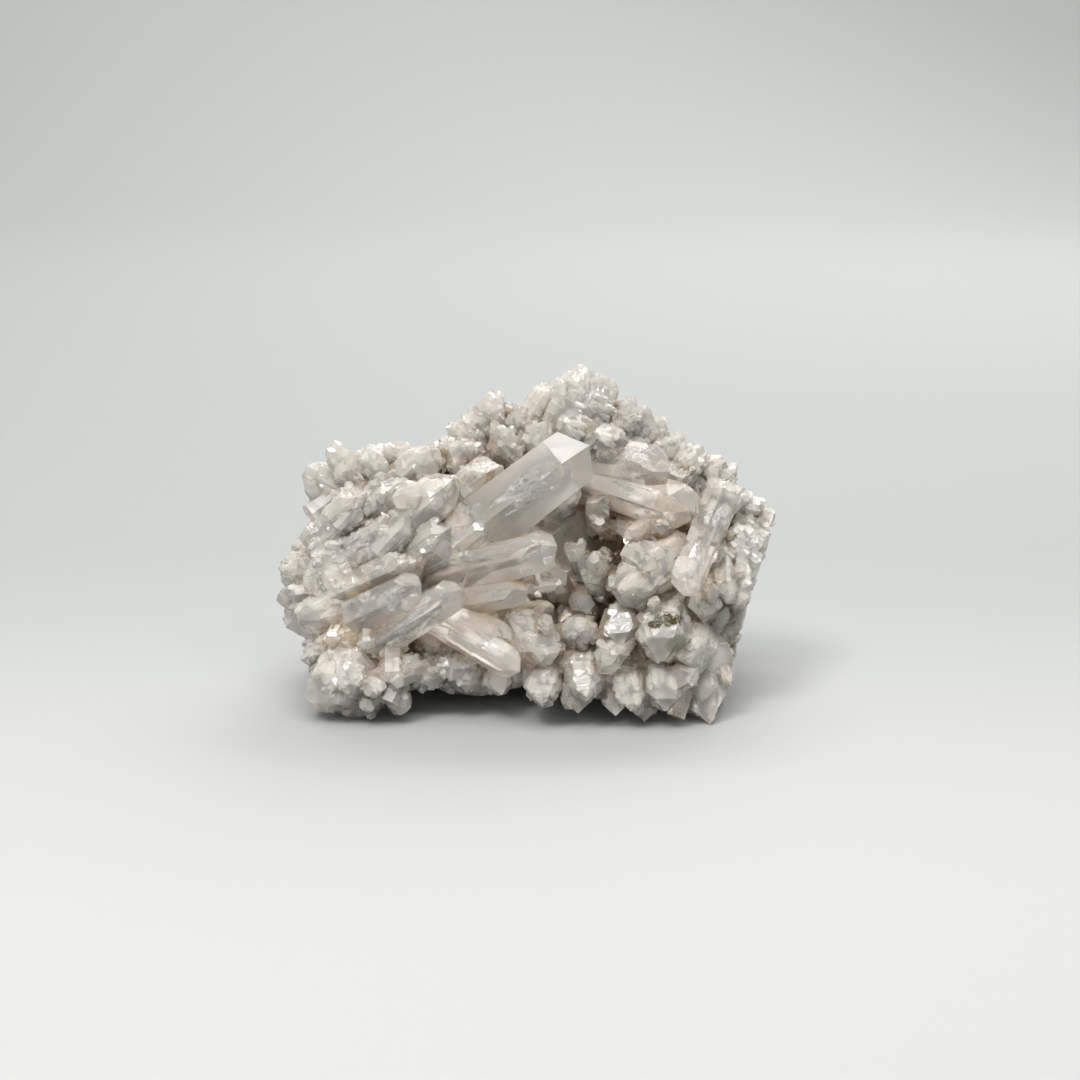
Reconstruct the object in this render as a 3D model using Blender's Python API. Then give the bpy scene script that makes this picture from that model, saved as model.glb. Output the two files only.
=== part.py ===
"""A quartz crystal cluster: one solid, about 110 mm wide, 60 mm deep and 70 mm high.

The frame is +Z up, with the origin under the middle of the cluster, on the surface it rests on.
+X is to the right and the front, where most of the points show, faces -Y. Sizes are in millimetres.
"""

import math
import random

import bmesh
import bpy
from mathutils import Matrix, Vector
from mathutils.geometry import intersect_point_line

NODE = "quartz_cluster"
MM = 0.001

# The habit of quartz: six prism faces, and six faces at the point. A point's face leans away
# from the axis by this angle, measured between its normal and the axis.
PRISM_FACES = 6
POINT_SLANT = math.radians(51.8)
TAPER = math.radians(1.5)
WIDTH_SPREAD = 0.13
SMALL_FACE_LIFT = (0.05, 0.45)
LARGE_FACE_LIFT = 0.10
WORST_EDGE = 0.03
POINT_SEED = 12

# The crystals' own colour, as the photograph shows it in soft light.
QUARTZ_COLOUR = (0.80, 0.76, 0.72, 1.0)
QUARTZ_ROUGHNESS = 0.12
QUARTZ_IOR = 1.544
QUARTZ_TRANSMISSION = 0.6

# The mass that the points grow from, as overlapping lumps: centre, then half sizes.
LUMPS = (
    ((-38, -9, 8), (9, 12, 14)),
    ((-40, 3, 26), (11, 17, 15)),
    ((-33, 7, 41), (11, 14, 11)),
    ((-19, 4, 17), (17, 20, 17)),
    ((-18, 6, 36), (16, 17, 17)),
    ((-12, -9, 11), (17, 8, 10)),
    ((6, 8, 14), (18, 24, 14)),
    ((4, 14, 36), (18, 14, 20)),
    ((1, 9, 51), (13, 12, 9)),
    ((18, 9, 50), (12, 12, 12)),
    ((32, 5, 13), (20, 20, 17)),
    ((39, 8, 25), (19, 17, 18)),
    ((33, 7, 42), (14, 13, 10)),
    ((15, -14, 10), (17, 8, 7)),
    ((36, -11, 8), (9, 9, 12)),
    ((-16, 18, 14), (28, 14, 19)),
    ((-37, 8, 9), (12, 12, 13)),
    ((20, 18, 15), (28, 14, 21)),
)
LUMP_POINTS = 26
LUMP_SPREAD = 0.12
LUMP_SEED = 31

# The main crystal: the foot and tip of its axis, its width and its turn. Its point is a low roof
# of two faces, each given by the way it looks around the axis and its slant, in degrees.
MAIN_FOOT = (-23.7, -1.1, 26.6)
MAIN_TIP = (9.9, -23.5, 59.2)
MAIN_WIDTH = 14.8
MAIN_TURN = 8.6
MAIN_ROOF = ((-12, 21), (-169, 21))

# Each point: where its axis starts inside the mass, where it ends, its width across the flats,
# and then, where they matter, its turn about its axis in degrees and how far its tip is cut flat.
MAIN_POINTS = (
    ((-22, -6, 28), (6.2, -22, 39.2), 10, 0, 0),
    ((-18, -13, 33.5), (-2, -22, 38.6), 4, 5, 0),
    ((-27, -2, 32), (-3, -18, 50.5), 8, 12, 0),
    ((-36.5, -14, 21.5), (-22.3, -24, 31.2), 8, 10, 0),
    ((-34, -14, 15), (-13.8, -25, 30.9), 8.5, 8, 0),
    ((-22, -15, 23), (-1.5, -26, 13.3), 7.5, 20, 0),
    ((-18, -14, 22.5), (-3.6, -22, 18.8), 6, 0, 0),
    ((-16, -11, 24), (-0.1, -21, 29.7), 7, 5, 0),
    ((41.5, -8, 46), (32.2, -25, 29.9), 7.2, 15, 0),
    ((14, 3, 48), (35.5, -14, 44.2), 10, 10, 0),
    ((14, 3, 52), (29.5, -12, 53), 9, 25, 0),
    ((7, 4, 53), (15, 4.5, 73), 13.5, 0, 0.4),
)

LEFT_RIDGES = (
    ((-38, -2, 38), (-25.6, -9, 49.9), 8, 0, 0),
    ((-45, -3, 35), (-33.4, -8, 47.3), 9, 15, 0),
    ((-32, -5, 34), (-15, -12, 51.1), 10.5, 5, 0),
    ((-43, -5, 29), (-25, -14, 41), 9, 20, 0),
    ((-43, -7, 23), (-22.3, -17, 34.6), 9, 0, 0),
    ((-31, -5, 28), (-13.3, -15, 41.8), 11, 10, 0),
    ((-24, -4, 38), (-6, -12, 54), 9, 25, 0),
    ((-30, 0, 44), (-19, -6, 56), 8, 0, 0),
    ((-36, -8, 22), (-50, -13, 20), 9, 0, 0.2),
    ((-36, -8, 14), (-48, -16, 12.5), 8.5, 10, 0),
)

LEFT_EDGE = (
    ((-44, 1, 27), (-55, 0, 27.1), 8, 0, 0.2),
    ((-44, 0, 23), (-54.2, -2, 22.4), 7, 10, 0.1),
    ((-44, 2, 19.5), (-53.8, -1, 18.7), 6.5, 0, 0.2),
    ((-43, 0, 16.5), (-52.6, -4, 15.6), 6, 20, 0),
    ((-43, 6, 30), (-52.5, 8, 30.5), 7, 0, 0),
    ((-42, 3, 33.5), (-47.8, 0, 34.6), 4.5, 0, 0),
    ((-38, 4, 42), (-48.8, 2, 50), 9, 0, 0.15),
    ((-36, 4, 44), (-41.5, 2, 54.6), 9, 12, 0.1),
    ((-35, 4, 45), (-37.4, 0, 53.4), 6, 0, 0),
    ((-38, 4, 40), (-47.4, 0, 42.6), 8, 0, 0.25),
    ((-38, 4, 37), (-45.6, 1, 38.1), 5.5, 10, 0),
    ((-31, 3, 46), (-33.4, 0, 53.6), 6, 0, 0),
    ((-27, 4, 46), (-28.7, 0, 56.2), 6, 18, 0),
    ((-21, 4, 48), (-20.7, 0, 56), 6, 0, 0),
)

TOP_EDGE = (
    ((-12, 4, 50), (-15.4, -8, 56.5), 7.5, 0, 0.3),
    ((-9, 4, 50), (-16.3, 0, 60.2), 8, 0, 0),
    ((-7, 5, 52), (-12.6, 2, 63.4), 6.5, 14, 0),
    ((-6, 5, 54), (-8.2, 2, 67), 5.8, 0, 0),
    ((-2, 6, 53), (-3, 3, 63.8), 6.5, 0, 0),
    ((-3, 0, 50), (-6, -7, 60.5), 6.5, 22, 0),
    ((-2, 5, 52), (7, 6, 68), 9, 20, 0.2),
    ((1, 2, 52), (4, -6, 61.5), 7, 0, 0),
    ((11, 4, 54), (11.1, -6, 63), 6, 0, 0.1),
    ((17, 4, 52), (17.6, -8, 59), 7.5, 10, 0),
    ((19, 6, 54), (22, 2, 65), 7.5, 0, 0),
    ((21, 7, 53), (26, 3, 63), 6.5, 20, 0),
    ((24, 7, 50), (29.2, 4, 60), 7, 0, 0),
    ((28, 5, 47), (32.5, 0, 57), 7.5, 10, 0),
    ((32, 6, 45), (37.6, 2, 54.6), 7.5, 0, 0),
    ((35, 6, 43), (42.4, 2, 51.6), 7.5, 30, 0),
    ((37, 4, 42), (45.6, 3, 50), 6.5, 0, 0.2),
    ((36, 2, 42), (43.8, -6, 47), 7.5, 15, 0),
    ((30, 2, 46), (33, -9, 50.5), 7.5, 0, 0),
    ((38, 2, 40), (38.5, -14, 42), 8, 12, 0.1),
)

RIGHT_EDGE = (
    ((41, 5, 39), (49.8, 3, 43), 6.5, 0, 0.2),
    ((43, 6, 37), (51.4, 5, 42), 5, 20, 0),
    ((46, 8, 22), (55.2, 6, 39.5), 9, 28, 0.15),
    ((44, -4, 36), (46.4, -15, 22.8), 6.8, 0, 0.15),
    ((41, -5, 36), (42.6, -16, 25.6), 6.2, 12, 0),
    ((46, 0, 38), (49, -9, 27.4), 6.2, 5, 0),
    ((37, -9, 16), (48.2, -10, 19.8), 5.4, 0, 0),
    ((36, -8, 13), (47, -10, 15.6), 5.4, 14, 0),
    ((35, -6, 10), (45, -9, 10), 6.5, 0, 0.1),
    ((34, -7, 12), (41.5, -18, 9.6), 6.5, 18, 0),
    ((37, -6, 29), (37.2, -20, 22.6), 8.5, 0, 0.2),
)

HOLLOW_POINTS = (
    ((19, -5, 22), (12.9, -18, 35.3), 8, 6, 0),
    ((15, -6, 18), (10.6, -17, 26.4), 5.5, 0, 0),
    ((12, 0, 25), (9.6, -14, 37), 5, 0, 0),
    ((33, -3, 32), (26.6, -14, 42.7), 5.2, 10, 0),
    ((27, -2, 32), (22.1, -15, 40.6), 4.2, 0, 0),
    ((33, -10, 34), (18.3, -23, 28.5), 10.5, 0, 0.25),
    ((24, -8, 27), (23, -20, 36), 5.5, 0, 0),
    ((8, -4, 22), (5, -15, 31.5), 6, 30, 0),
    ((4, 2, 40), (9, -7, 48.5), 7, 0, 0),
    ((16, 3, 38), (15, -8, 45), 6, 25, 0),
    ((22, 3, 36), (21, -8, 37.5), 7, 0, 0.1),
)

LOWER_POINTS = (
    ((-3, -11, 21), (4.6, -26, 14.8), 9, 0, 0.3),
    ((3, -12, 14.5), (14.2, -21, 21.4), 6, 0, 0),
    ((22, -10, 23), (19, -25.5, 20), 8, 10, 0.3),
    ((30, -10, 23), (27.6, -28.5, 18), 11.5, 0, 0.4),
    ((36, -10, 18), (34.2, -26, 14.6), 9, 25, 0.25),
    ((4, -11, 14), (2.8, -28, 7.4), 8, 0, 0.15),
    ((12, -11, 14), (12, -28.5, 9), 8, 12, 0.1),
    ((10.5, -15, 10), (10.8, -24, 3.4), 5.2, 0, 0),
    ((18, -14, 11), (18.5, -25, 3.2), 5.2, 0, 0),
    ((22, -12, 12), (22.4, -27.5, 5.4), 7.5, 15, 0.2),
    ((24, -13, 10), (24.8, -22.5, 1.0), 4.6, 0, 0),
    ((29, -11, 13), (29, -28, 6), 8.5, 0, 0.3),
    ((36.5, -9, 12), (38.8, -22.5, 0.4), 10, 0, 0),
    ((-29, -12, 20), (-28.4, -24.5, 9.5), 5, 0, 0.2),
    ((-30, -12, 13), (-26.6, -22.5, 2.0), 6, 0, 0),
    ((-36, -8, 16), (-44, -23, 3), 11.5, 0, 0.2),
    ((-36, -8, 14), (-37.5, -26, 8.5), 9, 10, 0.25),
    ((-33, -10, 10), (-33.5, -24, 3.5), 7, 0, 0),
    ((-34, -12, 20), (-33.8, -23, 17.6), 3.2, 0, 0.6),
    ((-40, -8, 19), (-41.8, -19.5, 17.2), 3.8, 0, 0.6),
    ((-14, -8, 13), (-13, -21, 7.5), 6, 0, 0.2),
    ((-8, -8, 12), (-5.5, -22, 7), 6, 14, 0),
    ((-21, -8, 14), (-20, -21, 8), 6.5, 0, 0.3),
)

# The small points between them: how many, the seed, the ranges of their sizes, and the room
# they keep from each other, from the edges of the cluster and from the large points.
FILL_COUNT = 52
FILL_SEED = 8
FILL_WIDTH = (2.8, 5.2)
FILL_REACH = (1.0, 1.6)
FILL_SPACING = 5.0
FILL_ROOT = 3.0
FILL_ROOM = ((-44, 45), (-60, 18), (8, 54))
FILL_CLEARANCE = 0.9

# Broken faces: a point on each, its normal, and the relief of the break.
RIGHT_BREAK = ((52.3, 14, 26), (0.957, -0.172, -0.234))
BACK_BREAK = ((0, 23.5, 20), (0.05, 0.97, 0.18))
BREAK_CELL = 10.0
BREAK_RELIEF = 1.4
BREAK_SIZE = 150.0
BREAK_DEPTH = 30.0

# The underside: it stands on its two front feet and on its back edge, and arches between them.
ARCH_CENTRE_X = -4.0
ARCH_HALF_WIDTH = 27.0
ARCH_HEIGHT = 3.4
ARCH_FRONT_Y = -20.0
ARCH_BACK_Y = 6.0
UNDER_CELL = 8.0


def clear_scene():
    for found in list(bpy.data.objects):
        bpy.data.objects.remove(found)


def cut_away(bm, point, normal):
    """Cuts off what lies beyond a plane, and closes the cut with one face."""
    geometry = bm.verts[:] + bm.edges[:] + bm.faces[:]
    cut = bmesh.ops.bisect_plane(
        bm, geom=geometry, plane_co=point, plane_no=normal, clear_outer=True, dist=1e-5
    )
    rim = [part for part in cut["geom_cut"] if isinstance(part, bmesh.types.BMEdge)]
    if rim:
        bmesh.ops.contextual_create(bm, geom=rim)


def axis_frame(foot, tip, turn):
    """The frame of a crystal: Z along its axis, and X as near to straight up as it can be."""
    along = (tip - foot).normalized()
    up = Vector((0, 0, 1)) if abs(along.z) < 0.97 else Vector((0, -1, 0))
    side = (up - along * up.dot(along)).normalized()
    third = along.cross(side)
    frame = Matrix((side, third, along)).transposed().to_4x4()
    frame.translation = foot
    return frame @ Matrix.Rotation(math.radians(turn), 4, "Z")


def outward(angle, slant=math.pi / 2):
    """A unit vector that leans from the axis by the slant, on the side the angle gives."""
    ring = math.sin(slant)
    return Vector((math.cos(angle) * ring, math.sin(angle) * ring, math.cos(slant)))


def prism(length, width, spread, chance):
    """A six-sided bar along Z, from the origin up, with sides that differ a little."""
    bm = bmesh.new()
    bmesh.ops.create_cube(bm, size=1.0)
    bar = Matrix.Translation((0, 0, length)) @ Matrix.Diagonal((2 * width, 2 * width, 2 * length, 1))
    bmesh.ops.transform(bm, matrix=bar, verts=bm.verts)
    for side in range(PRISM_FACES):
        angle = side * math.tau / PRISM_FACES
        reach = width / 2 * (1 + chance.uniform(-spread, spread))
        cut_away(bm, outward(angle) * reach, outward(angle, math.pi / 2 - TAPER))
    return bm


def crystal(foot, tip, width, turn, blunt, chance):
    """One quartz crystal as a closed mesh, cut from a bar by the planes of its faces."""
    foot, tip = Vector(foot), Vector(tip)
    apex = Vector((0, 0, (tip - foot).length))
    bm = prism(apex.z, width, WIDTH_SPREAD, chance)
    for side in range(PRISM_FACES):
        if side % 2:
            lift = width * chance.uniform(*SMALL_FACE_LIFT)
        else:
            lift = width * chance.uniform(0, LARGE_FACE_LIFT)
        slanted = outward(side * math.tau / PRISM_FACES, POINT_SLANT)
        cut_away(bm, apex + Vector((0, 0, lift)), slanted)
    if blunt:
        cut_away(bm, apex - Vector((0, 0, width / 2 * blunt)), Vector((0, 0, 1)))
    bmesh.ops.remove_doubles(bm, verts=bm.verts, dist=WORST_EDGE)
    bmesh.ops.transform(bm, matrix=axis_frame(foot, tip, turn), verts=bm.verts)
    return bm


def main_crystal(chance):
    """The main crystal, whose point is a low roof that faces up and to the right."""
    foot, tip = Vector(MAIN_FOOT), Vector(MAIN_TIP)
    apex = Vector((0, 0, (tip - foot).length))
    bm = prism(apex.z, MAIN_WIDTH, 0, chance)
    for angle, slant in MAIN_ROOF:
        cut_away(bm, apex, outward(math.radians(angle), math.radians(slant)))
    bmesh.ops.transform(bm, matrix=axis_frame(foot, tip, MAIN_TURN), verts=bm.verts)
    return bm


def lump(centre, half_sizes, chance):
    """One faceted lump: the hull of points spread evenly over an ellipsoid, each a little off it."""
    bm = bmesh.new()
    golden = math.pi * (3 - math.sqrt(5))
    for index in range(LUMP_POINTS):
        height = 1 - 2 * (index + 0.5) / LUMP_POINTS
        ring = math.sqrt(1 - height * height)
        reach = 1 + chance.uniform(-LUMP_SPREAD, LUMP_SPREAD)
        around = golden * index
        spot = Vector((ring * math.cos(around), ring * math.sin(around), height)) * reach
        bm.verts.new(Vector(centre) + Vector(a * b for a, b in zip(spot, half_sizes)))
    bmesh.ops.convex_hull(bm, input=bm.verts)
    loose = [vert for vert in bm.verts if not vert.link_faces]
    bmesh.ops.delete(bm, geom=loose, context="VERTS")
    return bm


def relief_block(name, columns, rows, height_at, depth):
    """A block whose top is a net of hills, for cutting. height_at gives a point for a column and a row."""
    bm = bmesh.new()
    top = [[bm.verts.new(height_at(c, r)) for c in range(columns + 1)] for r in range(rows + 1)]
    for r in range(rows):
        for c in range(columns):
            corners = (top[r][c], top[r][c + 1], top[r + 1][c + 1], top[r + 1][c])
            bm.faces.new(corners)
    bmesh.ops.triangulate(bm, faces=bm.faces[:])
    solid = bmesh.ops.extrude_face_region(bm, geom=bm.faces[:])
    for part in solid["geom"]:
        if isinstance(part, bmesh.types.BMVert):
            part.co.z = depth
    bmesh.ops.recalc_face_normals(bm, faces=bm.faces)
    return cutter(name, bm)


def cutter(name, bm):
    shape = solid_object(name, bm)
    shape.hide_render = True
    shape.display_type = "WIRE"
    return shape


def solid_object(name, bm):
    """Turns a mesh in millimetres into an object in metres."""
    bmesh.ops.scale(bm, vec=(MM, MM, MM), verts=bm.verts)
    mesh = bpy.data.meshes.new(name)
    bm.to_mesh(mesh)
    bm.free()
    shape = bpy.data.objects.new(name, mesh)
    bpy.context.collection.objects.link(shape)
    return shape


def broken_face(name, point, normal, chance):
    """A cutter that breaks the mass off along a plane, with shallow hills as a real break has."""
    cells = round(BREAK_SIZE / BREAK_CELL)
    half = BREAK_SIZE / 2

    def hill(column, row):
        inside = 0 < column < cells and 0 < row < cells
        shift = BREAK_CELL * 0.3 if inside else 0
        across = column * BREAK_CELL - half + chance.uniform(-shift, shift)
        along = row * BREAK_CELL - half + chance.uniform(-shift, shift)
        return Vector((across, along, chance.uniform(-BREAK_RELIEF, BREAK_RELIEF)))

    block = relief_block(name, cells, cells, hill, BREAK_DEPTH)
    turn = Vector(normal).normalized().to_track_quat("Z", "Y").to_matrix().to_4x4()
    block.data.transform(Matrix.Translation(Vector(point) * MM) @ turn)
    return block


def arch_height(x, y):
    """How high the underside stands above the surface at a place."""
    across = max(0.0, 1 - ((x - ARCH_CENTRE_X) / ARCH_HALF_WIDTH) ** 2)
    back = (ARCH_BACK_Y - y) / (ARCH_BACK_Y - ARCH_FRONT_Y)
    return ARCH_HEIGHT * min(1.0, 2.2 * across) * min(1.0, max(0.0, 1.6 * back))


def underside(chance):
    """The cutter for the underside: flat where the cluster stands, and arched between its feet."""
    cells = round(BREAK_SIZE / UNDER_CELL)
    half = cells * UNDER_CELL / 2

    def hill(column, row):
        x = column * UNDER_CELL - half + UNDER_CELL / 2
        y = row * UNDER_CELL - half + UNDER_CELL / 2
        lift = arch_height(x, y)
        rough = chance.uniform(-0.5, 0.2) if lift > 1 else 0
        return Vector((x, y, lift + rough))

    return relief_block("underside_cutter", cells, cells, hill, -BREAK_DEPTH)


def union_of(name, pieces):
    """Joins closed shapes into one object, with the seams worked out by a Boolean union."""
    group = bpy.data.collections.new(name + "_pieces")
    bpy.context.scene.collection.children.link(group)
    first, *others = pieces
    for piece in others:
        bpy.context.collection.objects.unlink(piece)
        group.objects.link(piece)
    grown = first.modifiers.new("grown together", "BOOLEAN")
    grown.operation = "UNION"
    grown.operand_type = "COLLECTION"
    grown.collection = group
    return settled(name, first, others)


def cut_by(shape, cutters):
    """The shape with the cutters' room taken out of it."""
    for block in cutters:
        broken = shape.modifiers.new("broken off", "BOOLEAN")
        broken.operation = "DIFFERENCE"
        broken.object = block
    return settled(shape.name, shape, cutters)


def settled(name, shape, used):
    """Makes the modifiers' result the object's own mesh, and removes what went into it."""
    graph = bpy.context.evaluated_depsgraph_get()
    mesh = bpy.data.meshes.new_from_object(shape.evaluated_get(graph))
    for part in (shape, *used):
        bpy.data.objects.remove(part)
    keep_outer_shell(mesh)
    mesh.name = name
    made = bpy.data.objects.new(name, mesh)
    bpy.context.collection.objects.link(made)
    return made


def keep_outer_shell(mesh):
    """Drops the sealed hollows that a union leaves between crystals, and any crumb cut loose."""
    bm = bmesh.new()
    bm.from_mesh(mesh)
    waiting = set(bm.faces)
    shells = []
    while waiting:
        shell = [waiting.pop()]
        for face in shell:
            for edge in face.edges:
                for other in edge.link_faces:
                    if other in waiting:
                        waiting.remove(other)
                        shell.append(other)
        shells.append(shell)
    outer = max(shells, key=lambda shell: sum(face.calc_area() for face in shell))
    spare = [face for shell in shells if shell is not outer for face in shell]
    bmesh.ops.delete(bm, geom=spare, context="FACES")
    loose = [vert for vert in bm.verts if not vert.link_faces]
    bmesh.ops.delete(bm, geom=loose, context="VERTS")
    bm.to_mesh(mesh)
    bm.free()


def large_points():
    """The axes and widths of the points that stand clear of the small ones."""
    rows = [(foot, tip, width) for foot, tip, width, *_ in MAIN_POINTS]
    rows.append((MAIN_FOOT, MAIN_TIP, MAIN_WIDTH))
    return [(Vector(foot), Vector(tip), width) for foot, tip, width in rows]


def has_room(spot, spots):
    """Whether a small point may grow at a place."""
    inside = all(low < value < high for value, (low, high) in zip(spot, FILL_ROOM))
    apart = all((spot - other).length > FILL_SPACING for other, _ in spots)
    if not (inside and apart):
        return False
    for foot, tip, width in large_points():
        part = intersect_point_line(spot, foot, tip)[1]
        nearest = foot.lerp(tip, min(max(part, 0), 1))
        if (spot - nearest).length < width * FILL_CLEARANCE:
            return False
    return True


def surface_spots(shape, chance):
    """Seeded places on the front, top and sides where small points grow, with their normals."""
    mesh = shape.data
    mesh.calc_loop_triangles()
    open_faces = [face for face in mesh.loop_triangles if face.normal.z * 0.5 - face.normal.y > -0.35]
    weights = [face.area for face in open_faces]
    spots = []
    for _ in range(FILL_COUNT * 30):
        if len(spots) == FILL_COUNT:
            break
        face = chance.choices(open_faces, weights)[0]
        a, b, c = (mesh.vertices[i].co / MM for i in face.vertices)
        u, v = sorted((chance.random(), chance.random()))
        spot = a * u + b * (v - u) + c * (1 - v)
        if has_room(spot, spots):
            spots.append((spot, face.normal.copy()))
    return spots


def small_points(shape, chance):
    """Small points on the surface. They lean from its normal towards the front and the way up."""
    points = []
    for spot, normal in surface_spots(shape, chance):
        lean = Vector((chance.uniform(-0.6, 0.6), chance.uniform(-0.7, 0.1), chance.uniform(-0.3, 0.7)))
        way = (normal + lean).normalized()
        width = chance.uniform(*FILL_WIDTH)
        reach = width * chance.uniform(*FILL_REACH)
        turn = chance.uniform(0, 60)
        points.append(crystal(spot - way * FILL_ROOT, spot + way * reach, width, turn, 0, chance))
    return points


def centre_on_origin(mesh):
    """Moves the mesh so that it stands on the XY plane with the origin under its middle."""
    spots = [vert.co for vert in mesh.vertices]
    low = Vector(min(spot[axis] for spot in spots) for axis in range(3))
    high = Vector(max(spot[axis] for spot in spots) for axis in range(3))
    middle = (low + high) / 2
    mesh.transform(Matrix.Translation((-middle.x, -middle.y, -low.z)))


def quartz_material():
    material = bpy.data.materials.new("quartz")
    material.use_nodes = True
    shader = material.node_tree.nodes["Principled BSDF"]
    shader.inputs["Base Color"].default_value = QUARTZ_COLOUR
    shader.inputs["Roughness"].default_value = QUARTZ_ROUGHNESS
    shader.inputs["Metallic"].default_value = 0.0
    shader.inputs["IOR"].default_value = QUARTZ_IOR
    shader.inputs["Transmission Weight"].default_value = QUARTZ_TRANSMISSION
    return material


def build():
    clear_scene()
    chance = random.Random(LUMP_SEED)
    shapes = [lump(centre, half_sizes, chance) for centre, half_sizes in LUMPS]
    chance = random.Random(POINT_SEED)
    shapes.append(main_crystal(chance))
    groups = (MAIN_POINTS, LEFT_RIDGES, LEFT_EDGE, TOP_EDGE, RIGHT_EDGE, HOLLOW_POINTS, LOWER_POINTS)
    for group in groups:
        shapes += [crystal(*row, chance) for row in group]
    pieces = [solid_object(f"growth_{index}", bm) for index, bm in enumerate(shapes)]
    cluster = union_of(NODE, pieces)
    chance = random.Random(FILL_SEED)
    fill = [solid_object(f"fill_{index}", bm) for index, bm in enumerate(small_points(cluster, chance))]
    cluster = union_of(NODE, [cluster, *fill])
    breaks = [
        broken_face("right_break_cutter", *RIGHT_BREAK, chance),
        broken_face("back_break_cutter", *BACK_BREAK, chance),
        underside(chance),
    ]
    cluster = cut_by(cluster, breaks)
    centre_on_origin(cluster.data)
    cluster.name = NODE
    cluster.data.materials.clear()
    cluster.data.materials.append(quartz_material())


build()
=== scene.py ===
"""The looks of a quartz crystal cluster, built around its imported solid.

Run as a script. Sizes are in millimetres, but those of the stage, the lights, the camera and the
properties are in metres.
"""

import math
import random

import bmesh
import bpy
import numpy as np
from bpy.props import FloatProperty, FloatVectorProperty, IntProperty, PointerProperty
from mathutils import Matrix, Vector, noise
from mathutils.bvhtree import BVHTree
from mathutils.geometry import intersect_point_line


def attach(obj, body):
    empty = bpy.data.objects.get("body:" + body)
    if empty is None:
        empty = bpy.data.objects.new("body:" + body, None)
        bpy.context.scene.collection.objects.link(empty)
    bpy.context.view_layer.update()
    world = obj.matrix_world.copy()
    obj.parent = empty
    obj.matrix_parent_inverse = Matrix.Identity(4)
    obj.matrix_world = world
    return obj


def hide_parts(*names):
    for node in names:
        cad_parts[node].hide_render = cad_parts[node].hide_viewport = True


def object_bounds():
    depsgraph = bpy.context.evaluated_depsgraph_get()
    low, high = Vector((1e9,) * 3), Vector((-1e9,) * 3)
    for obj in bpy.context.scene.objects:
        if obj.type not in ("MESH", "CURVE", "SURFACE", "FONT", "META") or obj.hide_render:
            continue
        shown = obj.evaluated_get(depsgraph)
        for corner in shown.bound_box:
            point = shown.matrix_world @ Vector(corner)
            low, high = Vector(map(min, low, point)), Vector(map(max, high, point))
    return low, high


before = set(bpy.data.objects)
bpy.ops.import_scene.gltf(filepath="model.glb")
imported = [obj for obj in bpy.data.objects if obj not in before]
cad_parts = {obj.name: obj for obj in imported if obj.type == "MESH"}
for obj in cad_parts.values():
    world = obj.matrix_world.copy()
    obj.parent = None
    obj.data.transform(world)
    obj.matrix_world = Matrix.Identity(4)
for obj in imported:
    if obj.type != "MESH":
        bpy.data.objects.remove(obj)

bl_info = {
    "name": "Quartz cluster looks",
    "version": (1, 0, 0),
    "blender": (4, 5, 0),
    "location": "3D View > Sidebar > Quartz",
    "description": "Dresses a quartz crystal cluster and sets it in soft studio light",
    "category": "Object",
}

MM = 0.001
NODE = "quartz_cluster"
CAD_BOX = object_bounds()
SEED = 77

# The habit of quartz: six sides, which taper a little, and six faces at the point. A slant is how far
# their normals lean from the axis.
SIDES = 6
SIDE_SLANT = 1.54
POINT_SLANT = math.radians(51.8)

# How far a small crystal's sides stand from its axis, and how far every second face of its point is
# moved off the tip, then the faces between them. Both are in its own widths.
SIDE_REACH = (0.4, 0.56)
FACE_LIFTS = ((0, 0.1), (0.08, 0.5))

# The large points, as the solid has them: foot and tip of the axis, and the width. The solid was
# then moved by GROWN_SHIFT, to stand over its origin.
GROWN_SHIFT = Vector((-0.06, 0.5, 0))
CLEAR_POINTS = (
    ((-23.7, -1.1, 26.6), (9.9, -23.5, 59.2), 14.8),
    ((-22, -6, 28), (6.2, -22, 39.2), 10),
    ((-18, -13, 33.5), (-2, -22, 38.6), 4),
    ((-27, -2, 32), (-3, -18, 50.5), 8),
    ((-36.5, -14, 21.5), (-22.3, -24, 31.2), 8),
    ((-34, -14, 15), (-13.8, -25, 30.9), 8.5),
    ((-22, -15, 23), (-1.5, -26, 13.3), 7.5),
    ((-18, -14, 22.5), (-3.6, -22, 18.8), 6),
    ((-16, -11, 24), (-0.1, -21, 29.7), 7),
    ((41.5, -8, 46), (32.2, -25, 29.9), 7.2),
    ((14, 3, 48), (35.5, -14, 44.2), 10),
    ((14, 3, 52), (29.5, -12, 53), 9),
)
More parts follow.
